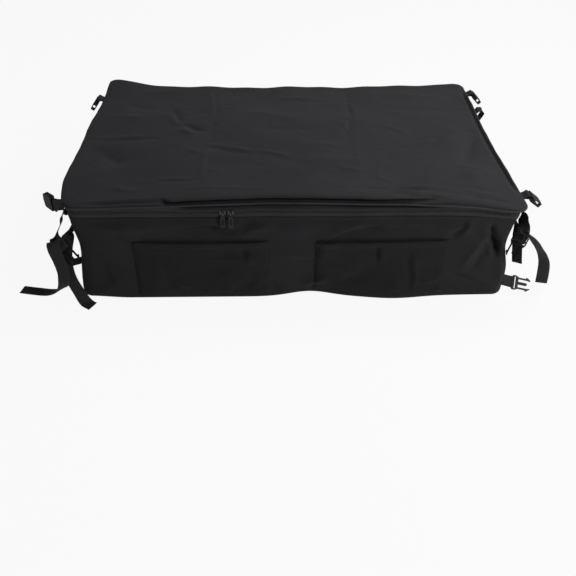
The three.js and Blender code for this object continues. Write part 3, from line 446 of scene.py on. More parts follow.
# %% Sheets of cloth
def piece_from(name, points, faces, material, replaces=(), cut=None, flat_ends=False):
    """Makes a piece of the bag from points in millimetres, and says what it stands for."""
    mesh = bpy.data.meshes.new(name)
    faces = faces if isinstance(faces, list) else faces.tolist()
    mesh.from_pydata((np.asarray(points).reshape(-1, 3) * MM).tolist(), [], faces)
    smooth = [not flat_ends or len(face) == 4 for face in faces]
    mesh.polygons.foreach_set("use_smooth", smooth)
    if cut is not None:
        loops = np.zeros(len(mesh.loops), int)
        mesh.loops.foreach_get("vertex_index", loops)
        layer = mesh.uv_layers.new(name="cut")
        layer.data.foreach_set("uv", (np.asarray(cut).reshape(-1, 2)[loops] * MM).ravel())
    mesh.materials.append(material)
    made = bpy.data.objects.new(name, mesh)
    bpy.context.scene.collection.objects.link(made)
    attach(made, "bag")
    if replaces:
        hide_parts(*replaces)


def normals_of(grid, ring=False):
    """Unit normals of a grid of points."""
    around = np.concatenate([grid[-1:], grid, grid[:1]]) if ring else grid
    along = np.gradient(around, axis=0)[1:-1] if ring else np.gradient(around, axis=0)
    normal = np.cross(along, np.gradient(grid, axis=1))
    return normal / np.maximum(np.linalg.norm(normal, axis=-1, keepdims=True), 1e-9)


def sheet(grid, thickness, ring=False):
    """Points and faces of a closed sheet whose outside is the grid."""
    inside = grid - normals_of(grid, ring) * thickness
    n, m = grid.shape[:2]
    count = n * m
    a = np.arange(count).reshape(n, m)
    if ring:
        a = np.concatenate([a, a[:1]])
    outer = np.stack((a[:-1, :-1], a[1:, :-1], a[1:, 1:], a[:-1, 1:]), -1).reshape(-1, 4)
    faces = [outer, outer[:, [0, 3, 2, 1]] + count]
    low, high = a[:, 0], a[:, -1]
    faces.append(np.stack((low[:-1], low[:-1] + count, low[1:] + count, low[1:]), -1))
    faces.append(np.stack((high[:-1], high[1:], high[1:] + count, high[:-1] + count), -1))
    if not ring:
        first, last = a[0], a[-1]
        faces.append(np.stack((first[:-1], first[1:], first[1:] + count, first[:-1] + count), -1))
        faces.append(np.stack((last[:-1], last[:-1] + count, last[1:] + count, last[1:]), -1))
    return np.concatenate([grid.reshape(-1, 3), inside.reshape(-1, 3)]), np.concatenate(faces)


def cloth_piece(name, grid, thickness, material, replaces, cut, ring=False):
    """A closed sheet as a piece. The cut gives each grid point's place on the flat panel."""
    points, faces = sheet(grid, thickness, ring)
    both_faces = np.concatenate([cut.reshape(-1, 2)] * 2)
    piece_from(name, points, faces, material, replaces, both_faces)
    print(name, "faces", len(faces), "box", np.round(points.min(0)), np.round(points.max(0)))


def pairs(first, second):
    """Two arrays of coordinates as one array of points on the flat cut."""
    return np.stack(np.broadcast_arrays(first, second), -1)


def lines(low, high, step):
    """Even places from low to high, about a step apart."""
    return np.linspace(low, high, max(2, round((high - low) / step) + 1))


# %% [markdown]
# ## Walls
# The four walls are cut as plain strips and sewn at the corners. The cargo presses them out, the
# floor rolls their foot under, and the straps' pull draws deep dents near the right front corner.
# Each fold below is placed where the photograph shows it on the front; the ends and the back, which
# it doesn't show, get the quieter folds of a wall that hangs between a sagging lid and the floor.

# %% Walls
FOOT_ROLL = 7.0  # radius of the cloth's turn at the floor
CLOTH = 1.4  # thickness of the coated cloth
wall_folds = {
    "front": [
        (-430, 186, 60, 187, 4, -3), (-40, 187, 425, 187, 4, -3),
        (-290, 190, 70, 188, 7, 4.5), (30, 189, 245, 191, 7, 4), (-300, 177, 50, 175, 8, -3.5),
        (20, 176, 330, 180, 7, -3), (-410, 178, -250, 184, 8, 2.5),
        (388, 200, 414, 122, 6, -8), (406, 158, 422, 100, 5, -11),
        (396, 150, 412, 96, 5, 4), (372, 196, 400, 140, 12, 4),
        (428, 192, 436, 60, 9, 3), (314, 148, 346, 204, 8, -3), (330, 150, 362, 204, 9, 3),
        (350, 62, 384, 168, 10, 3), (366, 60, 398, 130, 8, -2.5), (286, 82, 430, 20, 5, -2.5),
        (300, 92, 440, 34, 9, 2), (250, 40, 330, 66, 12, 2), (430, 84, 452, 10, 8, 2.5),
        (20, 152, 160, 204, 12, 4), (60, 146, 190, 190, 9, -3), (-150, 158, -20, 206, 13, 5),
        (-262, 183, -10, 186, 10, -6.5), (-360, 184, -306, 150, 6, 2.5), (-370, 172, -318, 146, 7, -2),
        (-60, 124, 90, 92, 9, 2.5), (-10, 112, 64, 84, 8, -2), (10, 20, 84, 60, 12, 4),
        (-56, 60, -30, 8, 14, -3), (-430, 150, -412, 20, 16, 3), (-400, 120, -380, 12, 12, -2.5),
        (-350, 60, -420, 8, 10, 2), (120, 180, 250, 196, 10, -2.5), (280, 172, 380, 186, 8, 2),
    ],
    "right": [
        (-280, 196, -236, 60, 11, -4), (-250, 190, -190, 80, 14, 4), (-150, 186, -90, 20, 18, 4),
        (-110, 170, -60, 30, 12, -3), (20, 190, -10, 30, 18, 3), (90, 186, 120, 60, 14, -3),
        (180, 192, 240, 70, 12, 4), (230, 180, 272, 40, 9, -3), (-260, 40, 260, 30, 14, 2),
    ],
    "back": [
        (-430, 188, -360, 60, 12, 4), (-380, 180, -330, 40, 14, -3), (-240, 150, -200, 20, 20, 3),
        (-120, 160, 40, 120, 16, -3), (0, 130, 140, 90, 14, 3), (180, 170, 210, 30, 18, 3),
        (320, 180, 380, 60, 12, -3), (380, 190, 430, 80, 12, 4), (-300, 40, 300, 34, 16, 2.5),
    ],
    "left": [
        (-270, 188, -230, 50, 12, 3), (-190, 180, -140, 40, 16, -3), (-60, 184, -40, 30, 20, 4),
        (60, 190, 70, 40, 16, -3), (150, 186, 200, 60, 14, 3), (220, 190, 262, 90, 10, -3),
        (-240, 40, 240, 26, 14, 2),
    ],
}


def wall_proud(side, s, z):
    """How far a wall's folds stand out. They die away at its seams."""
    small = small_folds(-end_of(side), end_of(side), 10, 190, 26, seed=len(side) + 40)
    wavy = rumple(s, z * 0.7, 120, 0.9, seed=len(side) * 7 + 3) + folded(s, z, small)
    seam = ease((end_of(side) - np.abs(s)) / 14)
    return (1.25 * folded(s, z, wall_folds[side]) + wavy) * seam * ease((WALL_TOP - z) / 16) * ease(z / 12)


def wall_point(side, s, z, stand=0.0):
    """The outside of a wall, with its folds, at a stand-off."""
    under = np.clip((FOOT_ROLL - z) / FOOT_ROLL, 0, 1)
    tuck = FOOT_ROLL * (1 - np.sqrt(1 - under**2))
    return shell(side, s, wall_inset(side, s, z) + tuck - wall_proud(side, s, z) - stand, z)


def wall(side, node, step):
    """A wall's cloth, as a grid along it and up it."""
    s = lines(-end_of(side), end_of(side), step)[:, None]
    z = np.concatenate([[0.5, 1.2, 2.4, 4.0], lines(6, WALL_TOP, 4.0)])[None, :]
    s, z = np.broadcast_arrays(s, z)
    outside = wall_point(side, s, z)
    cloth_piece(f"{side}_wall_cloth", outside, CLOTH, wall_oxford_painted_shade, [node], pairs(s, z))


# The walls wear the darker copy of the cloth, which is painted shade.
wall("front", "front_panel", 3.2)
wall("right", "right_end_panel", 4.5)
wall("back", "back_panel", 4.5)
wall("left", "left_end_panel", 4.5)

# %% [markdown]
# ## Base
# The base is one panel that lies on the deck, sewn to the feet of the walls. Its grid runs from the
# middle outwards to the rolled foot, so that its edge follows the walls all round. Under the load it
# is almost flat, with the faint hollows that the deck leaves.

# %% Base
def round_the_rim(step):
    """Sides and distances once round the rim."""
    return [(side, s) for side in sides for s in lines(-end_of(side), end_of(side), step)[:-1]]


foot = np.array([wall_point(side, np.array(s), np.array(0.5)) for side, s in round_the_rim(12)])
shares = np.linspace(1, 0.03, 26)[None, :, None]
floor_grid = foot[:, None, :] * shares
hollows = 0.5 * np.sin(foot[:, None, 0] / 37 + shares[..., 0] * 9)
raised = 0.5 + 1.2 * ease((1 - shares[..., 0]) * 12) + hollows
floor_grid[..., 2] = np.maximum(raised, 0.3)
# The outside of the base looks down, so the grid is walked the other way round
floor_grid = floor_grid[::-1]
cloth_piece("base_cloth", floor_grid, CLOTH, wall_oxford_painted_shade, ["base_panel"], floor_grid[..., :2], ring=True)

# %% [markdown]
# ## Zip tapes and hinge band
# The zip runs round the front and both ends. Its two woven tapes are sewn to the walls below and
# under the piping above. Behind, where the zip ends, a band of the wall's own cloth joins the lid to
# the back and is its hinge. Each strip is given by the height of its two long edges and by how far
# inside the rim they lie.

# %% Zip tapes and hinge band
ZIP_END = HALF_D * 0.8
ZIP_INSET = 8.0
zip_path = (
    [("left", s) for s in lines(-ZIP_END, end_of("left"), 6)[:-1]]
    + [("front", s) for s in lines(-end_of("front"), end_of("front"), 6)[:-1]]
    + [("right", s) for s in lines(-end_of("right"), ZIP_END, 6)]
)
hinge_path = (
    [("right", s) for s in lines(ZIP_END + 1, end_of("right"), 6)[:-1]]
    + [("back", s) for s in lines(-end_of("back"), end_of("back"), 6)[:-1]]
    + [("left", s) for s in lines(-end_of("left"), -ZIP_END - 1, 6)]
)


def along_path(path):
    """The distance walked along a path of rim places."""
    at = np.array([rim(side, s)[:2] for side, s in path])
    return np.concatenate([[0], np.cumsum(np.linalg.norm(np.diff(at, axis=0), axis=1))])


def band(name, node, path, low, high, thickness, material, slot, swell=lambda side, s: 0.0, rows=6):
    """A strip along a path. A long edge is its height, and its inset as a function of x and y."""
    grid = []
    walked = along_path(path)
    k = np.linspace(0, 1, rows)
    for (side, s), far in zip(path, walked):
        x, y, _, _ = rim(side, s)
        ripple = 0.5 * math.sin(far / 31) + 0.35 * math.sin(far / 13 + 2)
        inset = low[1](x, y) + (high[1](x, y) - low[1](x, y)) * k
        inset = inset - thickness / 2 - (swell(side, s) + ripple) * np.sin(math.pi * k)
        grid.append(shell(side, np.full(rows, float(s)), inset, low[0] + (high[0] - low[0]) * k))
    cut = pairs(walked[:, None], np.linspace(0, high[0] - low[0], rows)[None, :])
    cloth_piece(name, np.array(grid), thickness, material, [node], cut)


def in_the_middle(side, s):
    """In the middle of the front the upper tape falls in behind the piping, in a dark line."""
    return -11 * ease((s + 250) / 60) * ease((330 - s) / 120) if side == "front" else 0.0


on_zip = lambda x, y: ZIP_INSET
under_piping = lambda x, y: setback(x, y) + 2.0
at_hinge = lambda x, y: 2.0
sewn_low, sewn_high = (204.5, on_zip), (226.7, under_piping)
tape = (1.0, zip_tape_painted_highlight, "binding_tape")
band("lower_zip_tape", "zip_lower_tape", zip_path, sewn_low, (212.5, on_zip), *tape)
band("upper_zip_tape", "zip_upper_tape", zip_path, (218.7, on_zip), sewn_high, *tape, in_the_middle)
hinge = (1.6, wall_oxford_painted_shade, "bag_cloth", lambda side, s: 1.5)
band("hinge_band_cloth", "rear_hinge_band", hinge_path, sewn_low, (226.7, at_hinge), *hinge, rows=9)

# %% [markdown]
# ## Zip coil
# Between the tapes lie two rows of a nylon coil. Its turns are made here one by one, 2.4 mm apart so
# that they show, each as a short rounded bead that stands across its row. A thin strip behind them is
# the filler cord that they are sewn round.

# %% Zip coil
TOOTH_PITCH = 2.4


def spaced(path, pitch):
    """Rim places at even distances along a path, as (side, s) pairs."""
    walked = along_path(path)
    found = []
    for far in np.arange(pitch / 2, walked[-1], pitch):
        i = int(np.searchsorted(walked, far)) - 1
        k = (far - walked[i]) / (walked[i + 1] - walked[i])
        (side, s), (after, t) = path[i], path[i + 1]
        end = t if after == side else end_of(side)
        found.append((side, s + (end - s) * k))
    return found


def coil_row(name, low, high):
    """A row of coil turns between two heights."""
    points, faces = [], []
    sections = [(0.0, 0.45), (0.25, 1.0), (0.75, 1.0), (1.0, 0.45)]
    angles = [k * math.pi / 3 for k in range(6)]
    for side, s in spaced(zip_path, TOOTH_PITCH):
        start = len(points)
        for share, girth in sections:
            for a in angles:
                along, deep = 0.95 * girth * math.cos(a), 1.1 * girth * math.sin(a)
                points.append(shell(side, s + along, ZIP_INSET + deep, low + (high - low) * share))
        for ring in range(start, start + 18, 6):
            for k in range(6):
                a, b = ring + k, ring + (k + 1) % 6
                faces.append((a, b, b + 6, a + 6))
        faces.append(tuple(range(start + 5, start - 1, -1)))
        faces.append(tuple(range(start + 18, start + 24)))
    piece_from(name, np.array(points), faces, nylon_coil)
    print(name, "turns", len(points) // 24)


def core(name, node, low, high):
    """The filler cord of a row, as a strip between two heights."""
    behind = lambda x, y: ZIP_INSET + 1
    band(name, node, zip_path, (low, behind), (high, behind), 0.8, nylon_coil, "zip_coil", rows=2)


coil_row("lower_coil_turns", 212.8, 215.0)
coil_row("upper_coil_turns", 216.2, 218.4)
core("lower_coil_core", "zip_lower_coil", 212.9, 214.9)
core("upper_coil_core", "zip_upper_coil", 216.3, 218.3)

# %% [markdown]
# ## Piping
# A cord wrapped in a bias strip is caught in the lid's seam. It gives the lid its crisp outline and
# takes the rubbing. Its colour is drawn paler than the cloth's as a painted highlight, so it shows
# as a thin pale line round the whole rim. It is a tube of sections that walks round the rim, a
# little uneven as a sewn cord is.

# %% Piping
def piping(name, step, count=10, radius=2.0):
    """A tube of sections a step apart round the rim, with count points in each."""
    places = round_the_rim(step)
    far = np.arange(len(places)) * step
    grid = []
    a = np.linspace(0, 2 * math.pi, count, endpoint=False)
    for (side, s), walked in zip(places, far):
        x, y, _, _ = rim(side, s)
        wobble = 0.35 * math.sin(walked / 23) + 0.2 * math.sin(walked / 9)
        out = radius * np.cos(a) + wobble
        height = RIM_Z + radius * np.sin(a) + wobble / 2
        grid.append(shell(side, np.full(count, float(s)), setback(x, y) - out, height))
    a = np.arange(len(grid) * count).reshape(-1, count)
    b, c = np.roll(a, -1, 0), np.roll(a, -1, 1)
    faces = np.stack((a, b, np.roll(b, -1, 1), c), -1).reshape(-1, 4)
    arc = 1.25  # millimetres round the tube from one point to the next
    cut = pairs(far[:, None], np.arange(count)[None, :] * arc)
    piece_from(name, grid, faces, piping_tape_painted_highlight, ["lid_piping"], cut)
    print(name, "sections", len(grid))


piping("lid_piping_cord", 5)

# %% [markdown]
# ## Lid
# The lid is one wide panel. Nothing holds it up between its seams, so it shows every way the bag was
# folded for packing: two straight creases across it, a long diagonal groove with a ridge beyond it,
# a hollow near each end, and fine lines along the front. At the front the full bag pushes the cloth
# out over the piping and the zip, and that roll casts the dark line which the eye sees first.

# %% Lid
LID_SEAM = 231.3
LID_ROLL = 13.0
lid_folds = [
    (-283, 160, -244, 40, 7, -4.5), (-250, 52, -192, -6, 7, -4.5), (-292, 120, -262, 30, 8, 2.5),
    (-262, 20, -206, -26, 7, 2.5), (-200, -56, -70, -100, 5, 3.4), (-90, -92, 10, -132, 6, 2.6),
    (-200, -70, -60, -116, 7, -2), (-210, 286, -180, 60, 5, 2.2), (-203, 280, -170, 50, 5, -2.2),
    (-184, 80, -178, -60, 5, -1.8), (-182, -60, -180, -250, 7, 1.2), (-226, -84, -194, -112, 4, 2.4),
    (-456, -18, -270, -28, 5, 1.8), (-450, -30, -260, -40, 8, -1.6), (-425, -50, -345, -168, 24, -4.5),
    (-420, 100, -330, 80, 12, 2), (-400, 180, -320, 120, 16, -2), (-370, -236, -300, -264, 6, 2),
    (-290, -214, -190, -216, 5, 1.6), (-280, -226, -180, -228, 5, -1.4),
    (136, 286, 146, 60, 6, -3.2), (146, 280, 154, 70, 6, 2), (144, 90, 128, -40, 6, -2.4),
    (118, 60, 134, -20, 6, 1.8), (136, -20, 138, -210, 8, 1), (226, -78, 362, -32, 6, 2.6),
    (230, -90, 366, -44, 7, -1.8), (206, 36, 276, -18, 8, 2), (436, 6, 350, -162, 20, -5),
    (432, -156, 342, -222, 16, 4.5), (400, 30, 330, -60, 16, 2.5), (412, 4, 450, 24, 5, 3),
    (84, -172, 156, -196, 6, 2.2), (158, -204, 212, -244, 6, 1.8), (0, -60, 140, -74, 10, 1.4),
    (150, -262, 330, -284, 4, 2.6), (170, -270, 350, -292, 4, -2.2), (230, -256, 340, -276, 4, 1.8),
    (300, -276, 444, -270, 5, 2.2), (320, -286, 448, -280, 4, -1.8), (-60, 214, 90, 208, 7, 2),
    (-20, 196, 110, 196, 9, -1.6), (180, 240, 420, 210, 14, 2), (240, 140, 400, 120, 18, -2),
    (-140, 120, 60, 60, 26, 2.5), (-120, 20, 110, 10, 24, -2), (-20, -150, 220, -130, 22, 2),
    (-400, 240, -260, 270, 10, 2), (240, 270, 400, 284, 8, -2), (60, -278, 330, -266, 4, -3),
    (180, -260, 440, -268, 4, 2.6), (280, -250, 430, -258, 4, -2), (-240, -262, -30, -268, 5, 1.6),
]
lid_folds += small_folds(-430, 430, -260, 280, 70, seed=2)
# How the lid leaves its front seam, over the first 30 mm of cloth: it falls in, then rolls out
# over the seam. Distances in from the seam, and shares of the crown's height, at even steps.
FRONT_ROLL = 30.0
roll_in = [0, 7, 12, 13, 7, 0.5, -1.5, 1, 8, 18, 30]
roll_up = [0, 0.02, 0.12, 0.36, 0.5, 0.6, 0.78, 0.95, 1.03, 1.04, 1.0]


def round_corner(x, y):
    """Rounds the corners of a rectangle's grid."""
    dx, dy = np.abs(x) - (HALF_W - CORNER), np.abs(y) - (HALF_D - CORNER)
    inside = (dx <= 0) | (dy <= 0)
    k = np.where(inside, 1, np.maximum(dx, dy) / np.maximum(np.hypot(dx, dy), 1e-9))
    cx, cy = HALF_W - CORNER + dx * k, HALF_D - CORNER + dy * k
    return np.where(inside, x, np.sign(x) * cx), np.where(inside, y, np.sign(y) * cy)


def lid_point(x, y):
    """The outside of the lid over a point of the flat panel."""
    inside = np.minimum(HALF_W - np.abs(x), HALF_D - np.abs(y))
    roll = np.sqrt(1 - (1 - np.clip(inside / LID_ROLL, 0, 1)) ** 2)
    v = y / HALF_D
    crown = (1 - (x / HALF_W) ** 2) * (0.65 - 0.35 * v) * (1 - ease(v))
    px, py = round_corner(x, y)
    z = LID_SEAM + roll * (4 + 12 * crown)
    # Between two places along the front, the cloth falls in behind the piping and rolls out above
    share = np.clip((y + HALF_D) / FRONT_ROLL, 0, 1)
    front = ease((x + 268) / 30) * ease((352 - x) / 200) * (share < 1)
    py = py + front * (profile(roll_in, share) - FRONT_ROLL * share)
    z = z + front * (LID_SEAM + profile(roll_up, share) * (4 + 12 * crown) - z)
    py = py + setback(px, py)
    # Along the right end the lid dips before it meets the piping
    z = z - 9 * hump(HALF_W - x, 8.5, 5) * ease((HALF_D - 40 - np.abs(y)) / 60)
    # So it does along the left part of the front seam
    z = z - 6.5 * hump(HALF_D + y, 6.5, 4) * ease((x + 445) / 90) * ease((-195 - x) / 60)
    seam = ease(inside / 30)
    height = folded(x, y, lid_folds) + rumple(x, y, 170, 1.1, seed=11) + rumple(x, y, 46, 0.3, seed=5)
    along_front = folded(x, y, [f for f in lid_folds if f[1] < -250 and f[3] < -250])
    z = z + height * seam + along_front * 0.5 * (1 - seam) * ease(inside / 8)
    return settled(px, py, z)


def lid_lines(half, step):
    """Grid lines from edge to edge, close together where the lid rolls over its seam."""
    roll = [0, 0.3, 0.8, 1.5, 2.5, 3.7, 5, 6.4, 8, 9.6, 11.3, 13, 15, 17, 19.2, 21.5, 24, 27, 30]
    edge = half - np.array(roll)
    flat = half - FRONT_ROLL
    return np.concatenate([-edge, lines(-flat, flat, step)[1:-1], edge[::-1]])


x, y = np.meshgrid(lid_lines(HALF_W, 4.0), lid_lines(HALF_D, 4.0), indexing="ij")
cloth_piece("lid_cloth", lid_point(x, y), CLOTH, lid_oxford, ["lid_panel"], pairs(x, y))

# %% [markdown]
# ## Patch pockets
# A patch pocket is a rectangle laid on the wall and sewn on three sides. Its mouth is turned over
# into a 12 mm hem, which stands off the wall because the cloth was cut a little wide. The right one
# gapes at its left corner and is creased by two darts; the left one lies flatter.

# %% Patch pockets
POCKET_W, POCKET_FOOT, POCKET_TOP, POCKET_SEAM, HEM = 272.0, 14.0, 152.0, 8.0, 12.0
POCKET_CLOTH = 1.2
pocket_middles = {"left": -189.0, "right": 180.0}
pocket_folds = {
    "left": [
        (-290, 130, -262, 30, 9, 2.5), (-282, 96, -236, 18, 7, -2.2), (-250, 60, -210, 30, 9, 2),
        (-186, 118, -60, 122, 7, -2), (-190, 108, -70, 110, 7, 1.6), (-108, 142, -98, 100, 6, -2),
        (-98, 136, -88, 90, 7, 1.8), (-150, 90, -120, 30, 12, 2), (-80, 60, -110, 20, 8, -1.8),
        (-320, 140, -240, 132, 7, 1.6),
    ],
    "right": [
        (167, 150, 170, 92, 5, -3), (176, 146, 180, 96, 7, 2), (234, 146, 248, 10, 5, -2.2),
        (242, 140, 256, 14, 7, 1.8), (60, 96, 130, 60, 12, 2), (90, 40, 160, 70, 12, -2),
        (110, 120, 150, 80, 9, 1.5), (250, 92, 316, 68, 7, -1.6), (200, 60, 230, 20, 10, 1.8),
    ],
}
gape = {"left": lambda s: 0 * s, "right": lambda s: 5 * hump(s, 66, 22) + 2.5 * hump(s, 130, 40)}


def pocket(side, centre):
    """A pocket on the front, sewn down at its foot and its sides."""
    half, inner = POCKET_W / 2, POCKET_W / 2 - POCKET_SEAM
    across = lines(centre - inner, centre + inner, 3.5)
    s = np.concatenate([[centre - half], across, [centre + half]])[:, None]
    up = lines(POCKET_FOOT + POCKET_SEAM, POCKET_TOP - HEM - 1, 3.5)
    hem_lines = [POCKET_TOP - HEM, POCKET_TOP - 6, POCKET_TOP - 1, POCKET_TOP]
    z = np.concatenate([[POCKET_FOOT], up, hem_lines])[None, :]
    s, z = np.broadcast_arrays(s, z)
    outwards = np.clip(np.abs(s - centre) / inner, 0, 1)
    risen = np.clip((z - POCKET_FOOT - POCKET_SEAM) / (POCKET_TOP - POCKET_FOOT - POCKET_SEAM), 0, 1)
    belly = 5.5 * np.sqrt(1 - outwards**4) * risen**0.45
    hem = 0.9 * (z >= POCKET_TOP - HEM) - 0.5 * (z >= POCKET_TOP)
    creases = 1.35 * folded(s, z, pocket_folds[side]) + rumple(s, z, 70, 0.5, seed=31 + len(side))
    free = ease((1 - outwards) * inner / 12) * ease((z - POCKET_FOOT) / 14)
    stand = 1.9 + belly + hem + free * creases
    stand = stand + gape[side](s) * ease((z - 90) / 62) * ease((half - np.abs(s - centre)) / 10)
    least = 1.4  # so that it never sinks into the wall
    grid = wall_point("front", s, z, np.maximum(stand, least))
    cut = pairs(s, z)
    cloth_piece(f"{side}_pocket_cloth", grid, POCKET_CLOTH, pocket_oxford_painted_shade, [f"{side}_pocket"], cut)


for side, centre in pocket_middles.items():
    pocket(side, centre)

# %% [markdown]
# ## Webbing
# The straps are 25 mm polyester webbing, 1.4 mm thick, woven in ribs across a fine herringbone. They
# are stiff along their edges and limp across them, so they fall in plain bends, lean over on an edge
# and lie flat on the floor. Each strap is a rounded flat section carried along a smooth curve through
# the points of its route. A point is given from its corner of the rim, outwards, to the back and up
# from the floor, with the way in which the webbing's width lies there.

# %% Routes of the straps
def flat(width, *points):
    """Points of webbing that all have their width the same way."""
    return [(point, width) for point in points]


corners = {
    "left_front": {
        "out": -1, "back": -1,
        "top_way": (-1, 0, 0),
        "bottom_way": (-0.95, 0, -0.3),
        "adjuster": ((16, 10, 130), (0.66, -0.45, -0.6), (-0.75, -0.4, -0.53)),
        "upper_root": (39, 198),
        "head": [
            *flat((0, -1, 0), (6, 39, 199), (12, 35, 191), (15, 28, 178)),
            ((25, 21, 160), (-0.1, -1, -0.1)),
            ((30, 19, 148), (-0.5, -0.8, -0.4)),
        ],
        "tail": [
            ((31, 6, 149), (-0.8, -0.6, -0.3)),
            ((29, -6, 143), (-0.9, -0.4, -0.1)),
            ((20, -17, 118), (-1, -0.1, 0)),
            ((16, -20, 86), (-1, -0.1, 0)),
            ((23, -17, 54), (-0.9, -0.5, 0)),
            ((43, -2, 27), (-0.6, -0.8, 0)),
            ((71, 16, 8), (-0.4, -0.9, 0)),
            ((103, 29, 1.4), (-0.3, -1, 0)),
            ((135, 36, 1), (-0.3, -1, 0)),
        ],
        "lower_root": (37, 160),
        "lower": [
            ((1, 37, 160), (0, 1, 0)),
            ((7, 36, 152), (0.4, 0.9, 0)),
            ((9, 33, 140), (0.9, 0.3, 0)),
            ((15, 25, 116), (1, 0.1, 0)),
            ((16, 10, 88), (1, 0.1, 0)),
            ((11, 1, 60), (1, 0, 0.15)),
            ((-1, -6, 28), (1, 0.1, 0.2)),
            ((-14, -14, 6), (0.9, 0.4, 0)),
            ((-30, -24, 1), (0.8, 0.6, 0)),
        ],
    },
    "right_front": {
        "out": 1, "back": -1,
        "top_way": (0.96, 0, 0.28),
        "bottom_way": (0.94, 0, -0.3),
        "adjuster": ((4, 4, 146), (-0.35, -0.25, -0.9), (-0.85, 0.5, 0.2)),
        "upper_root": (43, 197),
        "head": [
            *flat((0, 1, 0), (8, 43, 197), (11, 39, 190)),
            ((11, 26, 179), (-0.4, 0.9, 0)),
            ((11, 15, 168), (-0.7, 0.7, 0.1)),
        ],
        "tail": [
            ((11, -2, 164), (-0.8, 0.6, 0)),
            ((18, -6, 162), (-0.7, 0.7, 0)),
            *flat((-0.65, 0.75, 0), (30, -4, 151), (45, 3, 131)),
            ((62, 14, 106), (-0.7, 0.7, 0)),
            ((79, 26, 72), (-0.8, 0.6, 0)),
            ((88, 35, 36), (-0.9, 0.4, 0)),
            ((93, 41, 4), (-0.95, 0.3, 0)),
        ],
        "lower_root": (44, 166),
        "lower": [
            ((4, 44, 166), (0, -1, 0)),
            ((8, 42, 156), (0.3, -1, 0)),
            *flat((0.6, -0.8, 0), (12, 36, 130), (15, 27, 100), (18, 20, 76)),
        ],
    },
    "right_back": {
        "out": 1, "back": 1,
        "top_way": (0.96, 0, 0.28),
        "bottom_way": (0.94, 0, -0.3),
        "adjuster": ((13, -93, 118), (-0.1, 0, -1), (0, -1, 0)),
        "upper_root": (-119, 194),
        "head": [
            *flat((0, -1, 0), (9, -119, 196), (23, -117, 206), (35, -111, 200)),
            *flat((0, -1, 0), (33, -99, 174), (22, -93, 146)),
        ],
        "tail": [
            *flat((0, -1, 0), (27, -93, 140), (36, -93, 132), (40, -93, 104), (43, -93, 60)),
            *flat((0, -1, 0), (47, -93, 16), (61, -93, 1.4), (87, -93, 1)),
        ],
        "lower_root": (-43, 168),
        "lower": flat((0, 1, 0), (6, -43, 168), (13, -43, 158), (15, -43, 116), (18, -43, 78)),
    },
    "left_back": {
        "out": -1, "back": 1,
        "top_way": (-0.96, 0, 0.28),
        "bottom_way": (-0.94, 0, -0.3),
        "adjuster": ((13, -83, 112), (0.1, 0, -1), (0, 1, 0)),
        "upper_root": (-83, 190),
        "head": flat((0, 1, 0), (7, -83, 190), (17, -83, 182), (23, -83, 160), (20, -83, 140)),
        "tail": [
            *flat((0, 1, 0), (27, -83, 134), (36, -83, 126), (40, -83, 100), (43, -83, 60)),
            *flat((0, 1, 0), (47, -83, 16), (61, -83, 1.4), (87, -83, 1)),
        ],
        "lower_root": (-37, 168),
        "lower": flat((0, -1, 0), (6, -37, 168), (13, -37, 158), (16, -37, 116), (19, -37, 78)),
    },
}

# How webbing is threaded round the two bars of an adjustable buckle: along it and through it
thread_route = [
    (-15, -2.9), (-9, -2.7), (-5.9, -1.9), (-4.2, 0.6), (-2.1, 2.7), (0.4, 3),
    (2.6, 2.3), (3.9, 0), (3.2, -2.9), (0.4, -4.8), (-5, -5.2), (-15, -5.2),
]
print("corners:", {name: len(rig["tail"]) for name, rig in corners.items()})

# %% [markdown]
# ## Straps
# The section is rounded at its two woven edges, and a third of a millimetre of waviness keeps the
# long edges from looking machined. The UVs run along the strap and across it, so the ribs of the
# weave turn with every bend.

# %% Straps
WEB_W, WEB_T = 25.0, 1.4
# A quarter of the section, from the edge to the middle: across the webbing and through it
quarter = [(12.5, 0.0), (12.35, 0.42), (11.8, 0.62), (8, 0.7), (0, 0.74)]
over = [(-across, through) for across, through in quarter] + quarter[3:0:-1]
section = over + [(-across, -through) for across, through in over]


def smooth_route(points, widths, steps):
    """A centripetal curve through points, with the widths turned evenly between them."""
    p = np.asarray(points, float)
    w = np.asarray(widths, float)
    w = w / np.linalg.norm(w, axis=1, keepdims=True)
    ends = np.concatenate([[2 * p[0] - p[1]], p, [2 * p[-1] - p[-2]]])
    at, ahead, wide = [], [], []
    for i in range(len(p) - 1):
        a, b, c, d = ends[i : i + 4]
        da, db, dc = (max(np.linalg.norm(v - u) ** 0.5, 1e-4) for u, v in ((a, b), (b, c), (c, d)))
        start = ((b - a) / da - (c - a) / (da + db) + (c - b) / db) * db
        end = ((c - b) / db - (d - b) / (db + dc) + (d - c) / dc) * db
        last = i == len(p) - 2
        cube, square = 2 * b - 2 * c + start + end, -3 * b + 3 * c - 2 * start - end
        for t in np.linspace(0, 1, steps + 1)[: None if last else -1]:
            at.append(cube * t**3 + square * t**2 + start * t + b)
            ahead.append(3 * cube * t**2 + 2 * square * t + start)
            wide.append(w[i] + (w[i + 1] - w[i]) * ease(t))
    at, ahead, wide = (np.array(v) for v in (at, ahead, wide))
    ahead /= np.linalg.norm(ahead, axis=1, keepdims=True)
    wide -= ahead * np.sum(wide * ahead, axis=1, keepdims=True)
    wide /= np.linalg.norm(wide, axis=1, keepdims=True)
    return at, ahead, wide


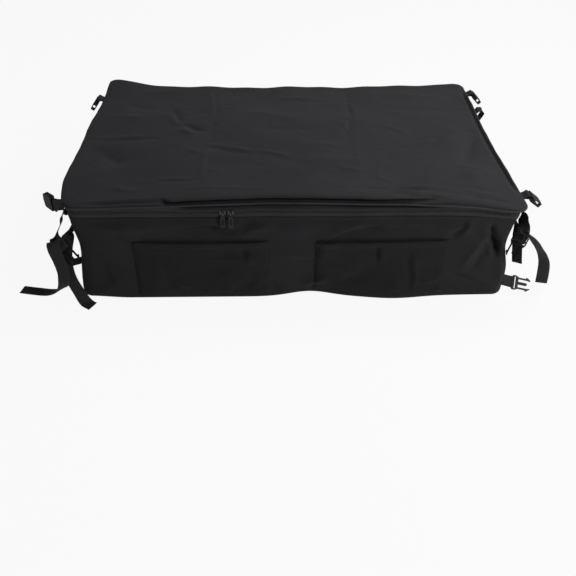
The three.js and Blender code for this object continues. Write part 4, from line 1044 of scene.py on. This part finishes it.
def webbing(name, node, points, widths, steps=7, wave=0.35):
    """A strap along a route. Its ends are cut square and sealed."""
    at, ahead, wide = smooth_route(points, widths, steps)
    normal = np.cross(ahead, wide)
    far = np.concatenate([[0], np.cumsum(np.linalg.norm(np.diff(at, axis=0), axis=1))])
    # It lies on the floor rather than in it
    reach = np.abs(wide[:, 2]) * WEB_W / 2 + np.abs(normal[:, 2]) * WEB_T / 2
    at[:, 2] = np.maximum(at[:, 2], 0.15 + reach)
    grid = []
    for across, through in section:
        lean = wave * (across / 12.5) * np.sin(far / 17 + across / 6)
        grid.append(at + wide * across + normal * (through + lean)[:, None])
    grid = np.stack(grid, 1)
    grid[..., 2] = np.maximum(grid[..., 2], 0.1)
    a = np.arange(grid.shape[0] * grid.shape[1]).reshape(grid.shape[:2])
    b = np.roll(a, -1, 1)
    faces = np.stack((a[:-1], a[1:], b[1:], b[:-1]), -1).reshape(-1, 4).tolist()
    faces += [a[0].tolist(), a[-1][::-1].tolist()]
    cut = pairs(np.array([across for across, _ in section])[None, :], far[:, None])
    piece_from(name, grid, faces, strap_webbing, [node], cut, flat_ends=True)
    print(name, "length", round(float(far[-1])), "mm")


def from_corner(rig, point):
    """A point given from its corner of the rim."""
    x, y, z = point
    return np.array([rig["out"] * (HALF_W + x), rig["back"] * HALF_D + y, z], float)


def on_end_wall(out, y, z):
    """The point of an end wall at y and z, found by closing in on it."""
    side, spot = ("right" if out > 0 else "left"), np.array([y, z], float)
    for _ in range(6):
        p = wall_point(side, np.array(out * spot[0]), np.array(spot[1]))
        spot += [y - p[1], z - p[2]]
    return wall_point(side, np.array(out * spot[0]), np.array(spot[1]))


def frame_of(way, width):
    """Directions along, across and through webbing or a buckle."""
    x = np.array(way, float) / np.linalg.norm(way)
    y = np.array(width, float)
    y = y - x * (y @ x)
    y /= np.linalg.norm(y)
    return x, y, np.cross(x, y)


def strap(name, rig, which, middle=(), middle_width=()):
    """A corner's strap: its root on the end wall, its own points, and what is threaded between."""
    y, z = rig[f"{which}_root"]
    root = on_end_wall(rig["out"], rig["back"] * HALF_D + y, z)
    first, last = (rig["head"], rig["tail"]) if which == "upper" else (rig["lower"], [])
    before, after = ([from_corner(rig, p) for p, _ in part] for part in (first, last))
    points = [root, *before, *middle, *after]
    widths = [first[0][1], *(w for _, w in first), *middle_width, *(w for _, w in last)]
    webbing(f"{name}_{which}_webbing", f"{name}_{which}_strap", points, widths)


for name, rig in corners.items():
    place, way, width = rig["adjuster"]
    x, y, z = frame_of(way, width)
    threaded = [from_corner(rig, place) + x * a + z * b for a, b in thread_route]
    strap(name, rig, "upper", threaded, [y] * len(threaded))
    strap(name, rig, "lower")

# %% [markdown]
# ## Tabs
# A short length of webbing is folded round the bar of each sewn buckle, and its two layers lie
# together where they go into the seam. The bar's middle and direction come from the joint
# that the buckle turns about, so the loop is round the bar wherever the tab points.

# %% Tabs
joints = {joint["name"]: joint for joint in frame["joints"]}
loop_radius = math.hypot(1.5, 1.5) + 0.3 + WEB_T / 2


def tab(name, way, length):
    """Webbing folded round a buckle's bar, with its two layers running back along the tab."""
    joint = joints[f"{name}_buckle_hinge"]
    middle = np.array(joint["pos_m"]) / MM
    x, y, z = frame_of(way, joint["axis"])
    turns = [math.radians(a) for a in (90, 60, 30, 0, -30, -60, -90)]
    round_bar = [(loop_radius * math.cos(a), loop_radius * math.sin(a)) for a in turns]
    there = [(-length, 0.74), (-9, 0.76), (-5, 1.7)]
    back = [(-5, -1.7), (-9, -0.76), (-length, -0.74)]
    points = [middle + x * a + z * b for a, b in there + round_bar + back]
    webbing(f"{name}_tab_webbing", f"{name}_tab", points, [y] * len(points), steps=3, wave=0.0)


for name, rig in corners.items():
    tab(f"{name}_top", rig["top_way"], 16)
    tab(f"{name}_bottom", rig["bottom_way"], 27)

# %% [markdown]
# ## Stitching
# The seams are lockstitched, with 4.6 mm from stitch to stitch. Each stitch is a small spindle of
# thread that lies half sunk in the cloth and dips where it enters. Two rows hold the foot and the
# sides of each pocket, and one row runs along the top and one along the foot of each wall.

# %% Stitching
STITCH_PITCH, STITCH_LENGTH, STITCH_GIRTH = 4.6, 3.2, 0.42
# A stitch's eight points: a share of its length, then shares of its girth across and up
stitch_points = [
    (-0.5, 0, -0.3), (0.5, 0, -0.3), (-0.2, 1, 0.2), (0.2, 1, 0.2),
    (-0.2, -1, 0.2), (0.2, -1, 0.2), (-0.2, 0, 1), (0.2, 0, 1),
]
stitch_faces = [
    (0, 4, 6), (0, 6, 2), (2, 6, 7), (2, 7, 3), (6, 4, 5), (6, 5, 7), (1, 7, 5), (1, 3, 7),
]


def stitches(name, points, normals):
    """A row of stitches along points that lie on the cloth."""
    p, n = np.asarray(points, float), np.asarray(normals, float)
    far = np.concatenate([[0], np.cumsum(np.linalg.norm(np.diff(p, axis=0), axis=1))])
    at = np.arange(STITCH_PITCH, far[-1] - STITCH_PITCH / 2, STITCH_PITCH)
    middle = np.stack([np.interp(at, far, p[:, k]) for k in range(3)], 1)
    ahead = np.stack([np.interp(at + 1, far, p[:, k]) for k in range(3)], 1) - middle
    ahead /= np.linalg.norm(ahead, axis=1, keepdims=True)
    out = np.stack([np.interp(at, far, n[:, k]) for k in range(3)], 1)
    out -= ahead * np.sum(out * ahead, axis=1, keepdims=True)
    out /= np.linalg.norm(out, axis=1, keepdims=True)
    wide = np.cross(out, ahead)
    along, wide, high = ahead * STITCH_LENGTH, wide * STITCH_GIRTH, out * STITCH_GIRTH
    grid = np.stack([middle + along * a + wide * b + high * c for a, b, c in stitch_points], 1)
    faces = np.arange(len(middle))[:, None, None] * 8 + np.array(stitch_faces)[None]
    piece_from(name, grid, faces.reshape(-1, 3), nylon_thread)
    print(name, len(middle), "stitches")


for side, centre in pocket_middles.items():
    for k, inset in enumerate((2.2, 6.2)):
        low, high = centre - POCKET_W / 2 + inset, centre + POCKET_W / 2 - inset
        height = lines(POCKET_TOP - 2, POCKET_FOOT + inset, 3)
        width = lines(low, high, 3)
        s = np.concatenate([np.full(len(height), low), width, np.full(len(height), high)])
        z = np.concatenate([height, np.full(len(width), POCKET_FOOT + inset), height[::-1]])
        line = wall_point("front", s, z, 2.0 + 0.35 * ease((z - 20) / 90))
        out = np.tile([0.0, -1.0, 0.0], (len(line), 1))
        stitches(f"{side}_pocket_stitches_{k + 1}", line, out)

for side in sides:
    s = lines(-end_of(side) + 4, end_of(side) - 4, 4)
    for label, z in (("top", 200.8), ("foot", 9.0)):
        line, above_it = (wall_point(side, s, np.full(len(s), z + dz), 0.1) for dz in (0.0, 1.0))
        out = np.cross(np.gradient(line, axis=0), above_it - line)
        stitches(f"{side}_wall_{label}_stitches", line, out)

# %% [markdown]
# ## Buckles, sliders and pulls
# These are stiff, so their solids are already right. A weld closes the imported faces and a small
# bevel gives the edges the radius that a mould or a casting leaves, which is where the light catches.

# %% Buckles, sliders and pulls
def moulded(node, finish, edge):
    """Gives a stiff node its finish, and softens its edges with modifiers."""
    part = frame["nodes"][node]
    if not part.material_slots:
        part.data.materials.append(finish)
    for slot in part.material_slots:
        slot.material = finish
    weld = part.modifiers.new("weld", "WELD")
    weld.merge_threshold = 0.00002
    bevel = part.modifiers.new("edge_radius", "BEVEL")
    bevel.width, bevel.segments, bevel.limit_method = edge * MM, 2, "ANGLE"
    bevel.angle_limit = math.radians(30)


for node in frame["nodes"]:
    if node.endswith("_buckle"):
        moulded(node, acetal, 0.45)
    elif node.endswith(("_slider", "_pull")):
        moulded(node, black_zinc, 0.25)
stiff = ("_buckle", "_slider", "_pull")
soft = [name for name in frame["nodes"] if not name.endswith(stiff)]
print("soft solids still showing:", [name for name in soft if not frame["nodes"][name].hide_render])
